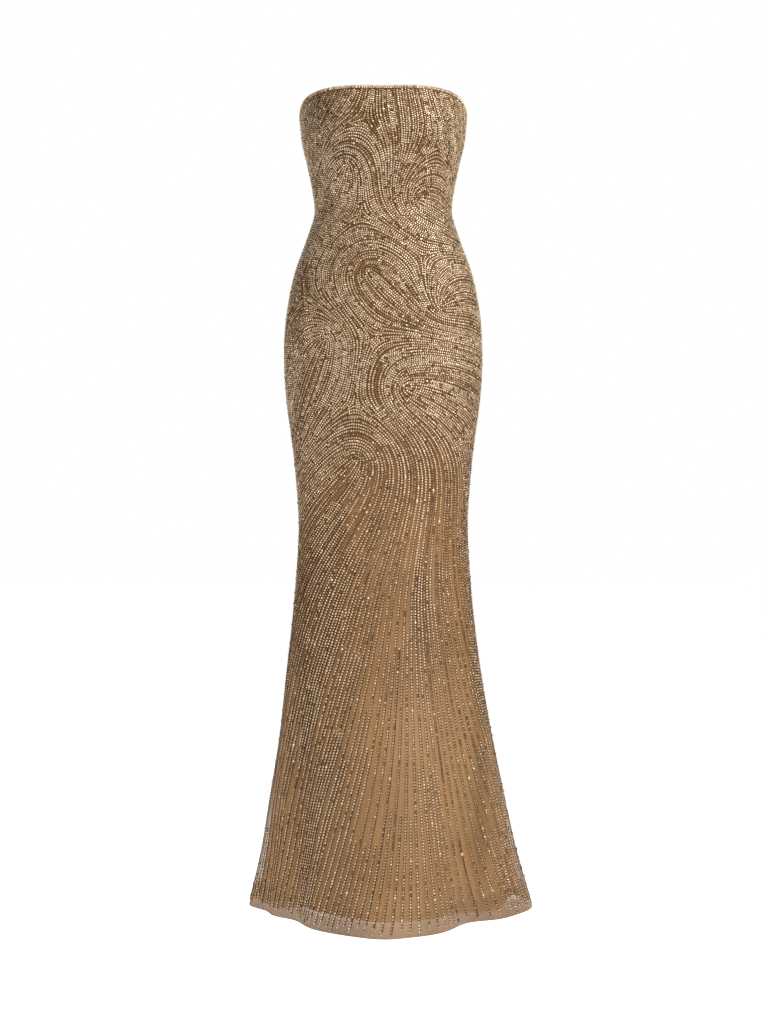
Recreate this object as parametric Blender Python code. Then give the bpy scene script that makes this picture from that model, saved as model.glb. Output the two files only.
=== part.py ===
"""Strapless column gown: beaded net over a plain lining, with a rolled neck edge and a zip at the back.

The gown stands as if worn, open at the neck and at the hem. X runs across it, its front faces -Y and
+Z is up. The origin is the middle of the chest, level with the underarms, where a wearer holds it up.
Sizes are in millimetres and are turned into metres where the points are made.
"""

import math
from collections import namedtuple

import bmesh
import bpy
from mathutils import Vector

MM = 0.001

# Cloth thicknesses, measured inwards from the tops of the beads
NET_WALL = 2.5
LINING_GAP = 1.4
LINING_WALL = 1.2
LINING_INSET = NET_WALL + LINING_GAP
SEAM_HALF_GAP = 0.15

# Edges
NECK_EDGE_HEIGHT = 5.0
NECK_EDGE_ROUND = 1.5
REST_GAP = 0.3
HEM_HEIGHT = -1290.0

# The form: half widths and depths of level sections, from the shape of a general figure in the cloth
Section = namedtuple("Section", "height half_width front back centre_x")
SECTIONS = (
    Section(45, 136.5, 117, 101, 0),
    Section(0, 137.5, 130, 101, 0),
    Section(-45, 133, 136, 99, 0),
    Section(-95, 121.5, 120, 91, 0),
    Section(-154, 113, 92, 80, 0),
    Section(-192, 123, 95, 86, 0),
    Section(-257, 146, 103, 102, 0),
    Section(-323, 159, 107, 119, 0),
    Section(-389, 163, 106, 128, 0),
    Section(-460, 159.5, 102, 124, 0),
    Section(-553, 147.5, 99, 112, 0),
    Section(-651, 139.5, 98, 102, 0),
    Section(-717, 141, 102, 104, 0),
    Section(-815, 149, 114, 114, 0),
    Section(-913, 161, 130, 130, 1),
    Section(-1012, 175.5, 150, 152, 4),
    Section(-1110, 194.5, 174, 178, 6),
    Section(-1200, 213, 198, 206, 8.5),
    Section(-1290, 237.5, 220, 238, 10.5),
)
SQUARENESS = 2.2

# Bust cups, as soft swells of the front: angles are in degrees from the middle of the front
Cup = namedtuple("Cup", "angle height reach half_angle half_height")
CUPS = (
    Cup(-30, -40, 6, 20, 42),
    Cup(30, -40, 6, 20, 42),
)

# Skirt folds: a trough has a depth below 0. Each grows from its start down to the hem
Fold = namedtuple("Fold", "angle depth half_angle start")
FOLDS = (
    Fold(-76, -22, 10, -1000),
    Fold(-51, -50, 19.5, -800),
    Fold(-25, -7, 10, -840),
    Fold(-2, 12, 9, -840),
    Fold(41, -57, 19, -820),
    Fold(68, -16, 13, -1000),
    Fold(124, -38, 17, -830),
    Fold(157, -22, 12, -900),
    Fold(-122, -34, 18, -860),
    Fold(-152, -27, 12, -820),
)
FOLD_GROWTH = 1.5

# Height of the neck edge at an angle from the middle of the front, the same on both sides
NeckPoint = namedtuple("NeckPoint", "angle height")
NECKLINE = (
    NeckPoint(0, 24),
    NeckPoint(30, 26),
    NeckPoint(48, 24),
    NeckPoint(64, 18),
    NeckPoint(78, 7),
    NeckPoint(92, -4),
    NeckPoint(125, -9),
    NeckPoint(180, -12),
)

# The lining's hem is uneven. It hangs lowest at the front's right corner, and is turned up at its left one
HemPoint = namedtuple("HemPoint", "angle height")
LINING_HEM = (
    HemPoint(-180, -1268),
    HemPoint(-130, -1270),
    HemPoint(-90, -1276),
    HemPoint(-76, -1281),
    HemPoint(-60, -1276),
    HemPoint(-42, -1264),
    HemPoint(0, -1266),
    HemPoint(20, -1268),
    HemPoint(45, -1275),
    HemPoint(60, -1275),
    HemPoint(70, -1261),
    HemPoint(90, -1264),
    HemPoint(130, -1268),
    HemPoint(180, -1268),
)

# The lining is cut narrower than the net, so it parts from it near the hem, most of all at the sides
LINING_PART_START = -1020.0
LINING_SIDE_PART = 5.0
LINING_FRONT_PART = 3.0

# Grid of the panels. Net, lining and zip share their rows, so that their facets lie parallel
HALF_COLUMNS = 30
ROWS = 26
ROW_CROWDING = 1.15
NECK_EDGE_COLUMNS = 60

# Zip at the middle of the back
BACK_MIDDLE = 180.0
ZIP_ROWS = 10
TAPE_HALF_WIDTH = 12.0
TAPE_WALL = 0.7
CHAIN_HALF_WIDTH = 1.4
CHAIN_WALL = 1.8
CHAIN_GAP = 0.3
LINING_FROM_ZIP = 7.0
LINING_CLOSING = 25.0
ZIP_INSET = NET_WALL + 0.35

# Zip slider and its pull tab
SLIDER_WIDTH = 6.5
SLIDER_LENGTH = 11.0
SLIDER_THICKNESS = 2.2
SLIDER_BEVEL = 0.7
SLIDER_MIDDLE = -28.0
PIN_HEIGHT = -25.0
PIN_RADIUS = 0.6
PIN_STAND_OFF = 1.9
EAR_WIDTH = 1.0
EAR_LENGTH = 2.6
EAR_INNER = 1.5
EAR_OVERLAP = 0.5
TAB_LENGTH = 22.0
TAB_THICKNESS = 1.0
TAB_NECK_HALF_WIDTH = 1.2
TAB_END_RADIUS = 3.0
TAB_END_STEPS = 12
BARREL_RADIUS = 1.5
BARREL_BORE = 0.95
ROUND_SIDES = 16


def clear_scene():
    for thing in list(bpy.data.objects):
        bpy.data.objects.remove(thing)


def smooth_step(t):
    t = min(max(t, 0.0), 1.0)
    return t * t * (3 - 2 * t)


def through_rows(knots, values, at):
    """A smooth curve through a table's values. Its slope at a row is that of the row's neighbours."""
    if knots[0] > knots[-1]:
        knots = knots[::-1]
        values = values[::-1]
    at = min(max(at, knots[0]), knots[-1])
    k = 0
    while k < len(knots) - 2 and at > knots[k + 1]:
        k += 1
    before = max(k - 1, 0)
    after = min(k + 2, len(knots) - 1)
    step = knots[k + 1] - knots[k]
    slope_in = (values[k + 1] - values[before]) / (knots[k + 1] - knots[before])
    slope_out = (values[after] - values[k]) / (knots[after] - knots[k])
    t = (at - knots[k]) / step
    start = (1 + 2 * t) * (1 - t) ** 2 * values[k] + t * (1 - t) ** 2 * step * slope_in
    end = t * t * (3 - 2 * t) * values[k + 1] + t * t * (t - 1) * step * slope_out
    return start + end


def section_at(height):
    heights = [row.height for row in SECTIONS]
    columns = zip(*[row[1:] for row in SECTIONS])
    return [through_rows(heights, list(column), height) for column in columns]


def angle_between(a, b):
    """The turn from b to a, from -180 to 180 degrees."""
    return (a - b + 180.0) % 360.0 - 180.0


def bell(distance, half_width):
    return math.exp(-((distance / half_width) ** 2))


def swell(angle, height):
    """How far cups and folds move the cloth out of its plain section."""
    out = 0.0
    for cup in CUPS:
        across = bell(angle_between(angle, cup.angle), cup.half_angle)
        out += cup.reach * across * bell(height - cup.height, cup.half_height)
    for fold in FOLDS:
        grown = (fold.start - height) / (fold.start - HEM_HEIGHT)
        if grown > 0:
            across = bell(angle_between(angle, fold.angle), fold.half_angle)
            out += fold.depth * across * grown**FOLD_GROWTH
    return out


def form_point(angle, height):
    """The point of the outer face at an angle from the middle of the front, turning towards +X."""
    half_width, front, back, centre_x = section_at(height)
    sine = math.sin(math.radians(angle))
    cosine = math.cos(math.radians(angle))
    depth = front if cosine > 0 else back
    reach = (abs(sine) ** SQUARENESS + abs(cosine) ** SQUARENESS) ** (-1 / SQUARENESS)
    outwards = Vector((sine / half_width, -cosine / depth, 0)).normalized()
    plain = Vector((centre_x + half_width * reach * sine, -depth * reach * cosine, height))
    return plain + outwards * swell(angle, height)


def form_normal(angle, height):
    turn = 0.5
    drop = 2.0
    across = form_point(angle + turn, height) - form_point(angle - turn, height)
    down = form_point(angle, height - drop) - form_point(angle, height + drop)
    return down.cross(across).normalized()


def inside(angle, height, inset):
    """The point of the form moved inwards, square to the cloth."""
    return form_point(angle, height) - form_normal(angle, height) * inset


def beside(angle, distance, height):
    """The angle that lies a distance along the cloth from another."""
    turn = 0.5
    per_degree = (form_point(angle + turn, height) - form_point(angle - turn, height)).length
    return angle + distance / per_degree


def neckline(angle):
    angles = [row.angle for row in NECKLINE]
    heights = [row.height for row in NECKLINE]
    return through_rows(angles, heights, abs(angle_between(angle, 0)))


def net_hem(angle):
    return HEM_HEIGHT


def lining_hem(angle):
    angles = [row.angle for row in LINING_HEM]
    heights = [row.height for row in LINING_HEM]
    return through_rows(angles, heights, angle_between(angle, 0))


def panel_top(angle):
    return neckline(angle) - NECK_EDGE_HEIGHT - REST_GAP


def row_height(angle, row):
    """The height of a row of points. Rows crowd a little towards the neck, where the form turns most."""
    share = (row / ROWS) ** ROW_CROWDING
    return panel_top(angle) + (HEM_HEIGHT - panel_top(angle)) * share


def lining_inset(angle, height):
    """The lining's depth inside the bead tops, which grows near the hem, most of all at the sides."""
    grown = smooth_step((LINING_PART_START - height) / (LINING_PART_START - HEM_HEIGHT))
    side = abs(math.sin(math.radians(angle))) ** 4
    return LINING_INSET + grown * (LINING_FRONT_PART + LINING_SIDE_PART * side)


def net_inset(angle, height):
    return 0.0


def zip_inset(angle, height):
    return ZIP_INSET


def finish(name, shape, material):
    """Makes a mesh object in metres from a bmesh in millimetres."""
    for vertex in shape.verts:
        vertex.co *= MM
    mesh = bpy.data.meshes.new(name)
    shape.to_mesh(mesh)
    shape.free()
    thing = bpy.data.objects.new(name, mesh)
    bpy.context.scene.collection.objects.link(thing)
    mesh.materials.append(material)
    mesh.shade_smooth()
    mesh.set_sharp_from_angle(angle=math.radians(40))
    return thing


def closed_wall(outer, inner):
    """A closed shell between two like grids of points, in columns that run down the cloth."""
    shape = bmesh.new()
    front = [[shape.verts.new(p) for p in column] for column in outer]
    rear = [[shape.verts.new(p) for p in column] for column in inner]
    for left, right, rear_left, rear_right in zip(front, front[1:], rear, rear[1:]):
        for j in range(len(left) - 1):
            shape.faces.new((left[j], left[j + 1], right[j + 1], right[j]))
            shape.faces.new((rear_left[j], rear_right[j], rear_right[j + 1], rear_left[j + 1]))
        shape.faces.new((left[0], right[0], rear_right[0], rear_left[0]))
        shape.faces.new((left[-1], rear_left[-1], rear_right[-1], right[-1]))
    for j in range(len(front[0]) - 1):
        shape.faces.new((front[0][j], rear[0][j], rear[0][j + 1], front[0][j + 1]))
        shape.faces.new((front[-1][j], front[-1][j + 1], rear[-1][j + 1], rear[-1][j]))
    return shape


def panel(name, columns, rows, edges, hem, inset, wall, material):
    """A cut piece of cloth between the two side angles of edges(height), down to a row or to hem(angle)."""
    outer = []
    inner = []
    for i in range(columns + 1):
        share = i / columns
        first, last = edges(0.0)
        column_angle = first + (last - first) * share
        outer_column = []
        inner_column = []
        for j in range(rows + 1):
            height = max(row_height(column_angle, j), hem(column_angle))
            first, last = edges(height)
            angle = first + (last - first) * share
            depth = inset(angle, height)
            outer_column.append(inside(angle, height, depth))
            inner_column.append(inside(angle, height, depth + wall))
        outer.append(outer_column)
        inner.append(inner_column)
    return finish(name, closed_wall(outer, inner), material)


def front_edges(height):
    return beside(-90, SEAM_HALF_GAP, height), beside(90, -SEAM_HALF_GAP, height)


def lining_zip_clearance(height):
    """The lining keeps off the zip chain, and its back seam closes below the zip."""
    closing = smooth_step((row_height(BACK_MIDDLE, ZIP_ROWS) - height) / LINING_CLOSING)
    return LINING_FROM_ZIP + (SEAM_HALF_GAP - LINING_FROM_ZIP) * closing


def back_edges(side, zip_gap):
    """The side seam and the middle back edge of a back panel, in the order that its columns turn."""

    def edges(height):
        seam = beside(90 * side, SEAM_HALF_GAP * side, height)
        middle = beside(BACK_MIDDLE * side, -zip_gap(height) * side, height)
        return (seam, middle) if side > 0 else (middle, seam)

    return edges


def net_zip_gap(height):
    return SEAM_HALF_GAP


def make_panels(net, lining):
    half_back = HALF_COLUMNS // 2
    layers = (
        ("net", net, net_hem, net_inset, NET_WALL, net_zip_gap),
        ("lining", lining, lining_hem, lining_inset, LINING_WALL, lining_zip_clearance),
    )
    for layer, material, hem, inset, wall, zip_gap in layers:
        panel(f"{layer}_front", HALF_COLUMNS, ROWS, front_edges, hem, inset, wall, material)
        for side, word in ((1, "left"), (-1, "right")):
            edges = back_edges(side, zip_gap)
            panel(f"{layer}_back_{word}", half_back, ROWS, edges, hem, inset, wall, material)


def make_neck_edge(material):
    """The rolled edge that closes the net and the lining together, open at the zip."""
    full = LINING_INSET + LINING_WALL
    profile = (
        (0.0, NECK_EDGE_HEIGHT),
        (0.0, NECK_EDGE_ROUND),
        (NECK_EDGE_ROUND, 0.0),
        (full - NECK_EDGE_ROUND, 0.0),
        (full, NECK_EDGE_ROUND),
        (full, NECK_EDGE_HEIGHT),
    )
    first = beside(-BACK_MIDDLE, 2 * SEAM_HALF_GAP, 0)
    shape = bmesh.new()
    rings = []
    for i in range(NECK_EDGE_COLUMNS + 1):
        angle = first + (-2 * first) * i / NECK_EDGE_COLUMNS
        top = neckline(angle)
        ring = [shape.verts.new(inside(angle, top - drop, inset)) for inset, drop in profile]
        rings.append(ring)
    count = len(profile)
    for left, right in zip(rings, rings[1:]):
        for k in range(count):
            after = (k + 1) % count
            shape.faces.new((left[k], right[k], right[after], left[after]))
    shape.faces.new(rings[0])
    shape.faces.new(rings[-1][::-1])
    return finish("neck_edge", shape, material)


def make_zip(tape, chain):
    """The two tapes under the edges of the back panels, and the closed chain between them."""

    def strip(name, near, far, wall, material):
        def edges(height):
            return beside(BACK_MIDDLE, near, height), beside(BACK_MIDDLE, far, height)

        panel(name, 2, ZIP_ROWS, edges, net_hem, zip_inset, wall, material)

    tape_near = CHAIN_HALF_WIDTH + CHAIN_GAP
    strip("zip_tape_left", -TAPE_HALF_WIDTH, -tape_near, TAPE_WALL, tape)
    strip("zip_chain", -CHAIN_HALF_WIDTH, CHAIN_HALF_WIDTH, CHAIN_WALL, chain)
    strip("zip_tape_right", tape_near, TAPE_HALF_WIDTH, TAPE_WALL, tape)


def block(name, size, centre, material, bevel=0.0):
    shape = bmesh.new()
    bmesh.ops.create_cube(shape, size=1.0)
    for vertex in shape.verts:
        vertex.co = Vector([a * b for a, b in zip(vertex.co, size)])
    if bevel:
        bmesh.ops.bevel(shape, geom=shape.edges[:], offset=bevel, segments=2, affect="EDGES")
    for vertex in shape.verts:
        vertex.co += centre
    return finish(name, shape, material)


def cross_rod(name, radius, half_length, centre, material):
    """A round rod that lies along X."""
    shape = bmesh.new()
    bmesh.ops.create_circle(shape, cap_ends=True, radius=radius, segments=ROUND_SIDES)
    for vertex in shape.verts:
        vertex.co = Vector((-half_length, vertex.co.x, vertex.co.y)) + centre
    end = bmesh.ops.extrude_face_region(shape, geom=shape.faces[:])
    for vertex in end["geom"]:
        if isinstance(vertex, bmesh.types.BMVert):
            vertex.co.x += 2 * half_length
    bmesh.ops.recalc_face_normals(shape, faces=shape.faces[:])
    return finish(name, shape, material)


def boolean(target, operation, others):
    """Joins or cuts the target with other objects, which are then only guides."""
    for other in others:
        modifier = target.modifiers.new(f"{operation} {other.name}", "BOOLEAN")
        modifier.operation = operation
        modifier.solver = "EXACT"
        modifier.object = other
        other.hide_render = True
        other.display_type = "WIRE"


def make_slider(cloth_y, metal):
    """The slider lies on the seam, with two ears that hold the pin of its pull tab."""
    body_y = cloth_y + REST_GAP + SLIDER_THICKNESS / 2
    pin_y = cloth_y + REST_GAP + SLIDER_THICKNESS + PIN_STAND_OFF
    body = block(
        "zip_slider",
        (SLIDER_WIDTH, SLIDER_THICKNESS, SLIDER_LENGTH),
        Vector((0, body_y, SLIDER_MIDDLE)),
        metal,
        SLIDER_BEVEL,
    )
    ear_depth = PIN_STAND_OFF + EAR_LENGTH / 2 + EAR_OVERLAP
    ear_y = cloth_y + REST_GAP + SLIDER_THICKNESS - EAR_OVERLAP + ear_depth / 2
    ears = []
    for side in (-1, 1):
        ear_x = side * (EAR_INNER + EAR_WIDTH / 2)
        size = (EAR_WIDTH, ear_depth, EAR_LENGTH)
        centre = Vector((ear_x, ear_y, PIN_HEIGHT))
        ears.append(block(f"guide_ear_{side + 1}", size, centre, metal))
    pin = cross_rod(
        "guide_pin", PIN_RADIUS, EAR_INNER + EAR_WIDTH / 2, Vector((0, pin_y, PIN_HEIGHT)), metal
    )
    boolean(body, "UNION", [*ears, pin])
    return pin_y


def make_pull(pin_y, metal):
    """The pull tab hangs from the pin. Its origin is on the pin's axis."""
    barrel = cross_rod("zip_pull", BARREL_RADIUS, TAB_NECK_HALF_WIDTH, Vector(), metal)
    barrel.location = Vector((0, pin_y, PIN_HEIGHT)) * MM
    shape = bmesh.new()
    end_z = -TAB_LENGTH + TAB_END_RADIUS
    outline = [(TAB_NECK_HALF_WIDTH, 0.0)]
    for k in range(TAB_END_STEPS + 1):
        turn = math.pi * k / TAB_END_STEPS
        outline.append(
            (TAB_END_RADIUS * math.cos(turn), end_z - TAB_END_RADIUS * math.sin(turn))
        )
    outline.append((-TAB_NECK_HALF_WIDTH, 0.0))
    face = shape.faces.new([shape.verts.new((x, -TAB_THICKNESS / 2, z)) for x, z in outline])
    side = bmesh.ops.extrude_face_region(shape, geom=[face])
    for vertex in side["geom"]:
        if isinstance(vertex, bmesh.types.BMVert):
            vertex.co.y += TAB_THICKNESS
    bmesh.ops.recalc_face_normals(shape, faces=shape.faces[:])
    plate = finish("guide_plate", shape, metal)
    bore = cross_rod("guide_bore", BARREL_BORE, 2 * TAB_NECK_HALF_WIDTH, Vector(), metal)
    for guide in (plate, bore):
        guide.location = barrel.location
    boolean(barrel, "UNION", [plate])
    boolean(barrel, "DIFFERENCE", [bore])


def surface(name, colour, roughness, metallic=0.0):
    material = bpy.data.materials.new(name)
    material.use_nodes = True
    shader = material.node_tree.nodes["Principled BSDF"]
    shader.inputs["Base Color"].default_value = (*colour, 1.0)
    shader.inputs["Roughness"].default_value = roughness
    shader.inputs["Metallic"].default_value = metallic
    return material


def main():
    clear_scene()
    net = surface("beaded_net", (0.36, 0.24, 0.13), 0.4, 0.5)
    lining = surface("lining", (0.50, 0.32, 0.19), 0.55)
    edge = surface("beaded_edge", (0.36, 0.24, 0.13), 0.4, 0.5)
    tape = surface("zip_tape", (0.42, 0.28, 0.17), 0.8)
    chain = surface("zip_coil", (0.35, 0.24, 0.15), 0.5)
    metal = surface("zip_metal", (0.62, 0.47, 0.26), 0.3, 1.0)
    make_panels(net, lining)
    make_neck_edge(edge)
    make_zip(tape, chain)
    slider_top = SLIDER_MIDDLE + SLIDER_LENGTH / 2
    slider_foot = SLIDER_MIDDLE - SLIDER_LENGTH / 2
    cloth_y = max(form_point(BACK_MIDDLE, height).y for height in (slider_top, slider_foot))
    pin_y = make_slider(cloth_y, metal)
    make_pull(pin_y, metal)


main()
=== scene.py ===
"""Looks of a strapless column gown: rows of glass beads on a sheer net, over a satin lining.

Sizes are in millimetres and angles in degrees. MM turns sizes into metres where meshes are made.
X runs across the gown, its front faces -Y and +Z is up. Angle 0 is the middle of the front, and
angles grow towards +X.
"""

import math
import random
from collections import deque, namedtuple

import bpy
import numpy as np
from mathutils import Matrix, Vector, kdtree


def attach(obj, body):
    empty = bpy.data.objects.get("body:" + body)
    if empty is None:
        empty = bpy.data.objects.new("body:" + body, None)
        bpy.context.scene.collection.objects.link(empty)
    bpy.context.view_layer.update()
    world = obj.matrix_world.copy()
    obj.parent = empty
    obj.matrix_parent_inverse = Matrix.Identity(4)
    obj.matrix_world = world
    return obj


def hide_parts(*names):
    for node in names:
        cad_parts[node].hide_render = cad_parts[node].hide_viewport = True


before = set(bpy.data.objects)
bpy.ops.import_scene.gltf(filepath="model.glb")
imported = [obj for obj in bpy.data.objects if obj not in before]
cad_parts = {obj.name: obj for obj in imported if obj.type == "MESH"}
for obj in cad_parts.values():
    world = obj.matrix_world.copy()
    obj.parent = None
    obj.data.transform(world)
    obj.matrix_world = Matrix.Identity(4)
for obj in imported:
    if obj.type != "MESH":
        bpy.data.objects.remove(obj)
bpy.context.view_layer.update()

MM = 0.001

# The form of the gown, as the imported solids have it

LINING_INSET = 3.9
LINING_WALL = 1.2
NECK_EDGE_HEIGHT = 5.0
HEM_HEIGHT = -1290.0
BACK_MIDDLE = 180.0
CLOTH_TOP = 60.0
CLOTH_FOOT = -1310.0
# Half of the short steps that find the cloth's directions, in degrees and in millimetres
RING_TURN = 0.5
DOWN_STEP = 2.0

Section = namedtuple("Section", "height half_width front back centre_x")
SECTIONS = (
    Section(45, 136.5, 117, 101, 0),
    Section(0, 137.5, 130, 101, 0),
    Section(-45, 133, 136, 99, 0),
    Section(-95, 121.5, 120, 91, 0),
    Section(-154, 113, 92, 80, 0),
    Section(-192, 123, 95, 86, 0),
    Section(-257, 146, 103, 102, 0),
    Section(-323, 159, 107, 119, 0),
    Section(-389, 163, 106, 128, 0),
    Section(-460, 159.5, 102, 124, 0),
    Section(-553, 147.5, 99, 112, 0),
    Section(-651, 139.5, 98, 102, 0),
    Section(-717, 141, 102, 104, 0),
    Section(-815, 149, 114, 114, 0),
    Section(-913, 161, 130, 130, 1),
    Section(-1012, 175.5, 150, 152, 4),
    Section(-1110, 194.5, 174, 178, 6),
    Section(-1200, 213, 198, 206, 8.5),
    Section(-1290, 237.5, 220, 238, 10.5),
)
SQUARENESS = 2.2

Cup = namedtuple("Cup", "angle height reach half_angle half_height")
CUPS = (
    Cup(-30, -40, 6, 20, 42),
    Cup(30, -40, 6, 20, 42),
)

Fold = namedtuple("Fold", "angle depth half_angle start")
FOLDS = (
    Fold(-76, -22, 10, -1000),
    Fold(-51, -50, 19.5, -800),
    Fold(-25, -7, 10, -840),
    Fold(-2, 12, 9, -840),
    Fold(41, -57, 19, -820),
    Fold(68, -16, 13, -1000),
    Fold(124, -38, 17, -830),
    Fold(157, -22, 12, -900),
    Fold(-122, -34, 18, -860),
    Fold(-152, -27, 12, -820),
)
FOLD_GROWTH = 1.5

NeckPoint = namedtuple("NeckPoint", "angle height")
NECKLINE = (
    NeckPoint(0, 24),
    NeckPoint(30, 26),
    NeckPoint(48, 24),
    NeckPoint(64, 18),
    NeckPoint(78, 7),
    NeckPoint(92, -4),
    NeckPoint(125, -9),
    NeckPoint(180, -12),
)

# The lining's hem is uneven, and hangs lowest near the side seam at its right
HemPoint = namedtuple("HemPoint", "angle height")
LINING_HEM = (
    HemPoint(-180, -1268),
    HemPoint(-130, -1270),
    HemPoint(-90, -1276),
    HemPoint(-76, -1281),
    HemPoint(-60, -1276),
    HemPoint(-42, -1264),
    HemPoint(0, -1266),
    HemPoint(20, -1268),
    HemPoint(45, -1275),
    HemPoint(60, -1275),
    HemPoint(70, -1261),
    HemPoint(90, -1264),
    HemPoint(130, -1268),
    HemPoint(180, -1268),
)


def through_rows(knots, values, at):
    """A smooth curve through a table's values, read at one place or at an array of them."""
    order = np.argsort(knots)
    x = np.asarray(knots, float)[order]
    y = np.asarray(values, float)[order]
    slope = np.gradient(y, x)
    slope[1:-1] = (y[2:] - y[:-2]) / (x[2:] - x[:-2])
    at = np.clip(at, x[0], x[-1])
    k = np.clip(np.searchsorted(x, at, side="right") - 1, 0, len(x) - 2)
    step = x[k + 1] - x[k]
    t = (at - x[k]) / step
    start = (1 + 2 * t) * (1 - t) ** 2 * y[k] + t * (1 - t) ** 2 * step * slope[k]
    return start + t * t * (3 - 2 * t) * y[k + 1] + t * t * (t - 1) * step * slope[k + 1]


def column(table, name, at, knot="height"):
    """One column of a table, read at a height or an angle."""
    return through_rows([getattr(row, knot) for row in table], [getattr(row, name) for row in table], at)


def angle_between(a, b):
    return (a - b + 180.0) % 360.0 - 180.0


def bell(distance, half_width):
    return np.exp(-((distance / half_width) ** 2))


def swell(angle, height):
    """How far cups and folds move the cloth out of its plain section."""
    out = np.zeros(np.broadcast(angle, height).shape)
    for cup in CUPS:
        across = bell(angle_between(angle, cup.angle), cup.half_angle)
        out = out + cup.reach * across * bell(height - cup.height, cup.half_height)
    for fold in FOLDS:
        grown = np.clip((fold.start - height) / (fold.start - HEM_HEIGHT), 0, None)
        across = bell(angle_between(angle, fold.angle), fold.half_angle)
        out = out + fold.depth * across * grown**FOLD_GROWTH
    return out


def form(angle, height):
    """The gown's outer face, level with the tops of the beads."""
    angle, height = np.broadcast_arrays(np.asarray(angle, float), np.asarray(height, float))
    half_width = column(SECTIONS, "half_width", height)
    centre_x = column(SECTIONS, "centre_x", height)
    sine = np.sin(np.radians(angle))
    cosine = np.cos(np.radians(angle))
    front = column(SECTIONS, "front", height)
    depth = np.where(cosine > 0, front, column(SECTIONS, "back", height))
    reach = (np.abs(sine) ** SQUARENESS + np.abs(cosine) ** SQUARENESS) ** (-1 / SQUARENESS)
    out_x = sine / half_width
    out_y = -cosine / depth
    size = np.hypot(out_x, out_y)
    moved = swell(angle, height)
    x = centre_x + half_width * reach * sine + out_x / size * moved
    y = -depth * reach * cosine + out_y / size * moved
    return np.stack([x, y, height], -1)


def unit(vectors):
    return vectors / np.linalg.norm(vectors, axis=-1, keepdims=True)


def ring_step(angle, height):
    """A short step along the level ring through a place, towards +angle."""
    return form(angle + RING_TURN, height) - form(angle - RING_TURN, height)


def outwards(angle, height):
    """The direction square to the cloth."""
    down = form(angle, height - DOWN_STEP) - form(angle, height + DOWN_STEP)
    return unit(np.cross(down, ring_step(angle, height)))


def lengths_along(points, axis=0):
    """How far each point lies along its line, from the line's first point."""
    steps = np.linalg.norm(np.diff(points, axis=axis), axis=-1)
    first = np.zeros_like(np.take(steps, [0], axis=axis))
    return np.concatenate([first, np.cumsum(steps, axis=axis)], axis=axis)


def neckline(angle):
    return column(NECKLINE, "height", np.abs(angle_between(angle, 0.0)), "angle")


def net_hem(angle):
    return np.full(np.shape(angle), HEM_HEIGHT)


def lining_hem(angle):
    return column(LINING_HEM, "height", angle_between(angle, 0.0), "angle")


# Rows of beads: how they run over the cloth, and how close they lie

# Shares of the spacing: the room a new row wants, and how near a row runs to another before it ends
Closeness = namedtuple("Closeness", "room least most")
FIRST_ROWS = Closeness(0.97, 0.74, 0.86)
FILLING_ROWS = Closeness(0.74, 0.64, 0.74)
ROW_SEED = 7
SHORTEST_ROW = 4
SKIRT_FIRST_ROW = (0.0, -900.0)
BESIDE_ARCH = 1.2
NEIGHBOUR_EVERY = 3
OWN_BEADS_REACH = 2.5
FILL_STEP = 6.0
FILL_TURN = 1.5
FILL_TOP = 20.0
ROW_TOP_GAP = 1.6
ROW_BACK_GAP = 0.5
SKIRT_START = -500.0
SKIRT_FULL = -760.0
ZIP_GAP = 3.2
HEM_GAP_LEAST = 3.0
HEM_GAP_MOST = 13.0

# How far apart the rows lie, and the beads along a row
Spacing = namedtuple("Spacing", "height apart along")
SPACINGS = (
    Spacing(60, 3.9, 3.7),
    Spacing(-400, 4.0, 3.7),
    Spacing(-540, 4.6, 3.9),
    Spacing(-650, 6.2, 4.2),
    Spacing(-780, 7.8, 4.5),
    Spacing(-900, 9.0, 4.6),
    Spacing(-1050, 10.2, 4.6),
    Spacing(-1300, 11.6, 4.6),
)

# Bundles, where the rows of the skirt lie closer
Bundle = namedtuple("Bundle", "angle half_angle closer start")
BUNDLE_GROWTH = 200.0
BUNDLE_REACH = 2.5
BUNDLES = (
    Bundle(24, 8, 0.3, -520),
    Bundle(-38, 24, 0.42, -560),
    Bundle(-88, 8, 0.3, -560),
    Bundle(70, 9, 0.4, -640),
    Bundle(118, 14, 0.5, -600),
    Bundle(160, 10, 0.5, -700),
    Bundle(-132, 15, 0.55, -600),
)

# How far the rows lean away from straight down
Lean = namedtuple("Lean", "height degrees")
LEANS = (
    Lean(40, 0),
    Lean(-40, 8),
    Lean(-120, 26),
    Lean(-200, 12),
    Lean(-290, -16),
    Lean(-400, -34),
    Lean(-500, -26),
    Lean(-600, 10),
    Lean(-700, 12),
    Lean(-820, 0),
    Lean(-1300, 0),
)

# How far the rows of the skirt fan out on both sides of a line, and come together again further on
Fan = namedtuple("Fan", "height degrees")
FANS = (
    Fan(60, 0),
    Fan(-650, 0),
    Fan(-780, 4),
    Fan(-900, 8),
    Fan(-1300, 10),
)
FAN_MIDDLE = 52.0
FAN_REACH = 84.0

# Arches, where the rows turn back like a hairpin that is open below. They part a reach above it
Arch = namedtuple("Arch", "across height reach")
ARCHES = (
    Arch(-60, -100, 74),
    Arch(56, -148, 88),
    Arch(-26, -262, 92),
    Arch(96, -318, 84),
    Arch(-96, -372, 88),
    Arch(34, -450, 96),
    Arch(-40, -560, 84),
    Arch(-236, -140, 80),
    Arch(-300, -350, 100),
    Arch(212, -120, 76),
    Arch(300, -330, 100),
)


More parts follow.
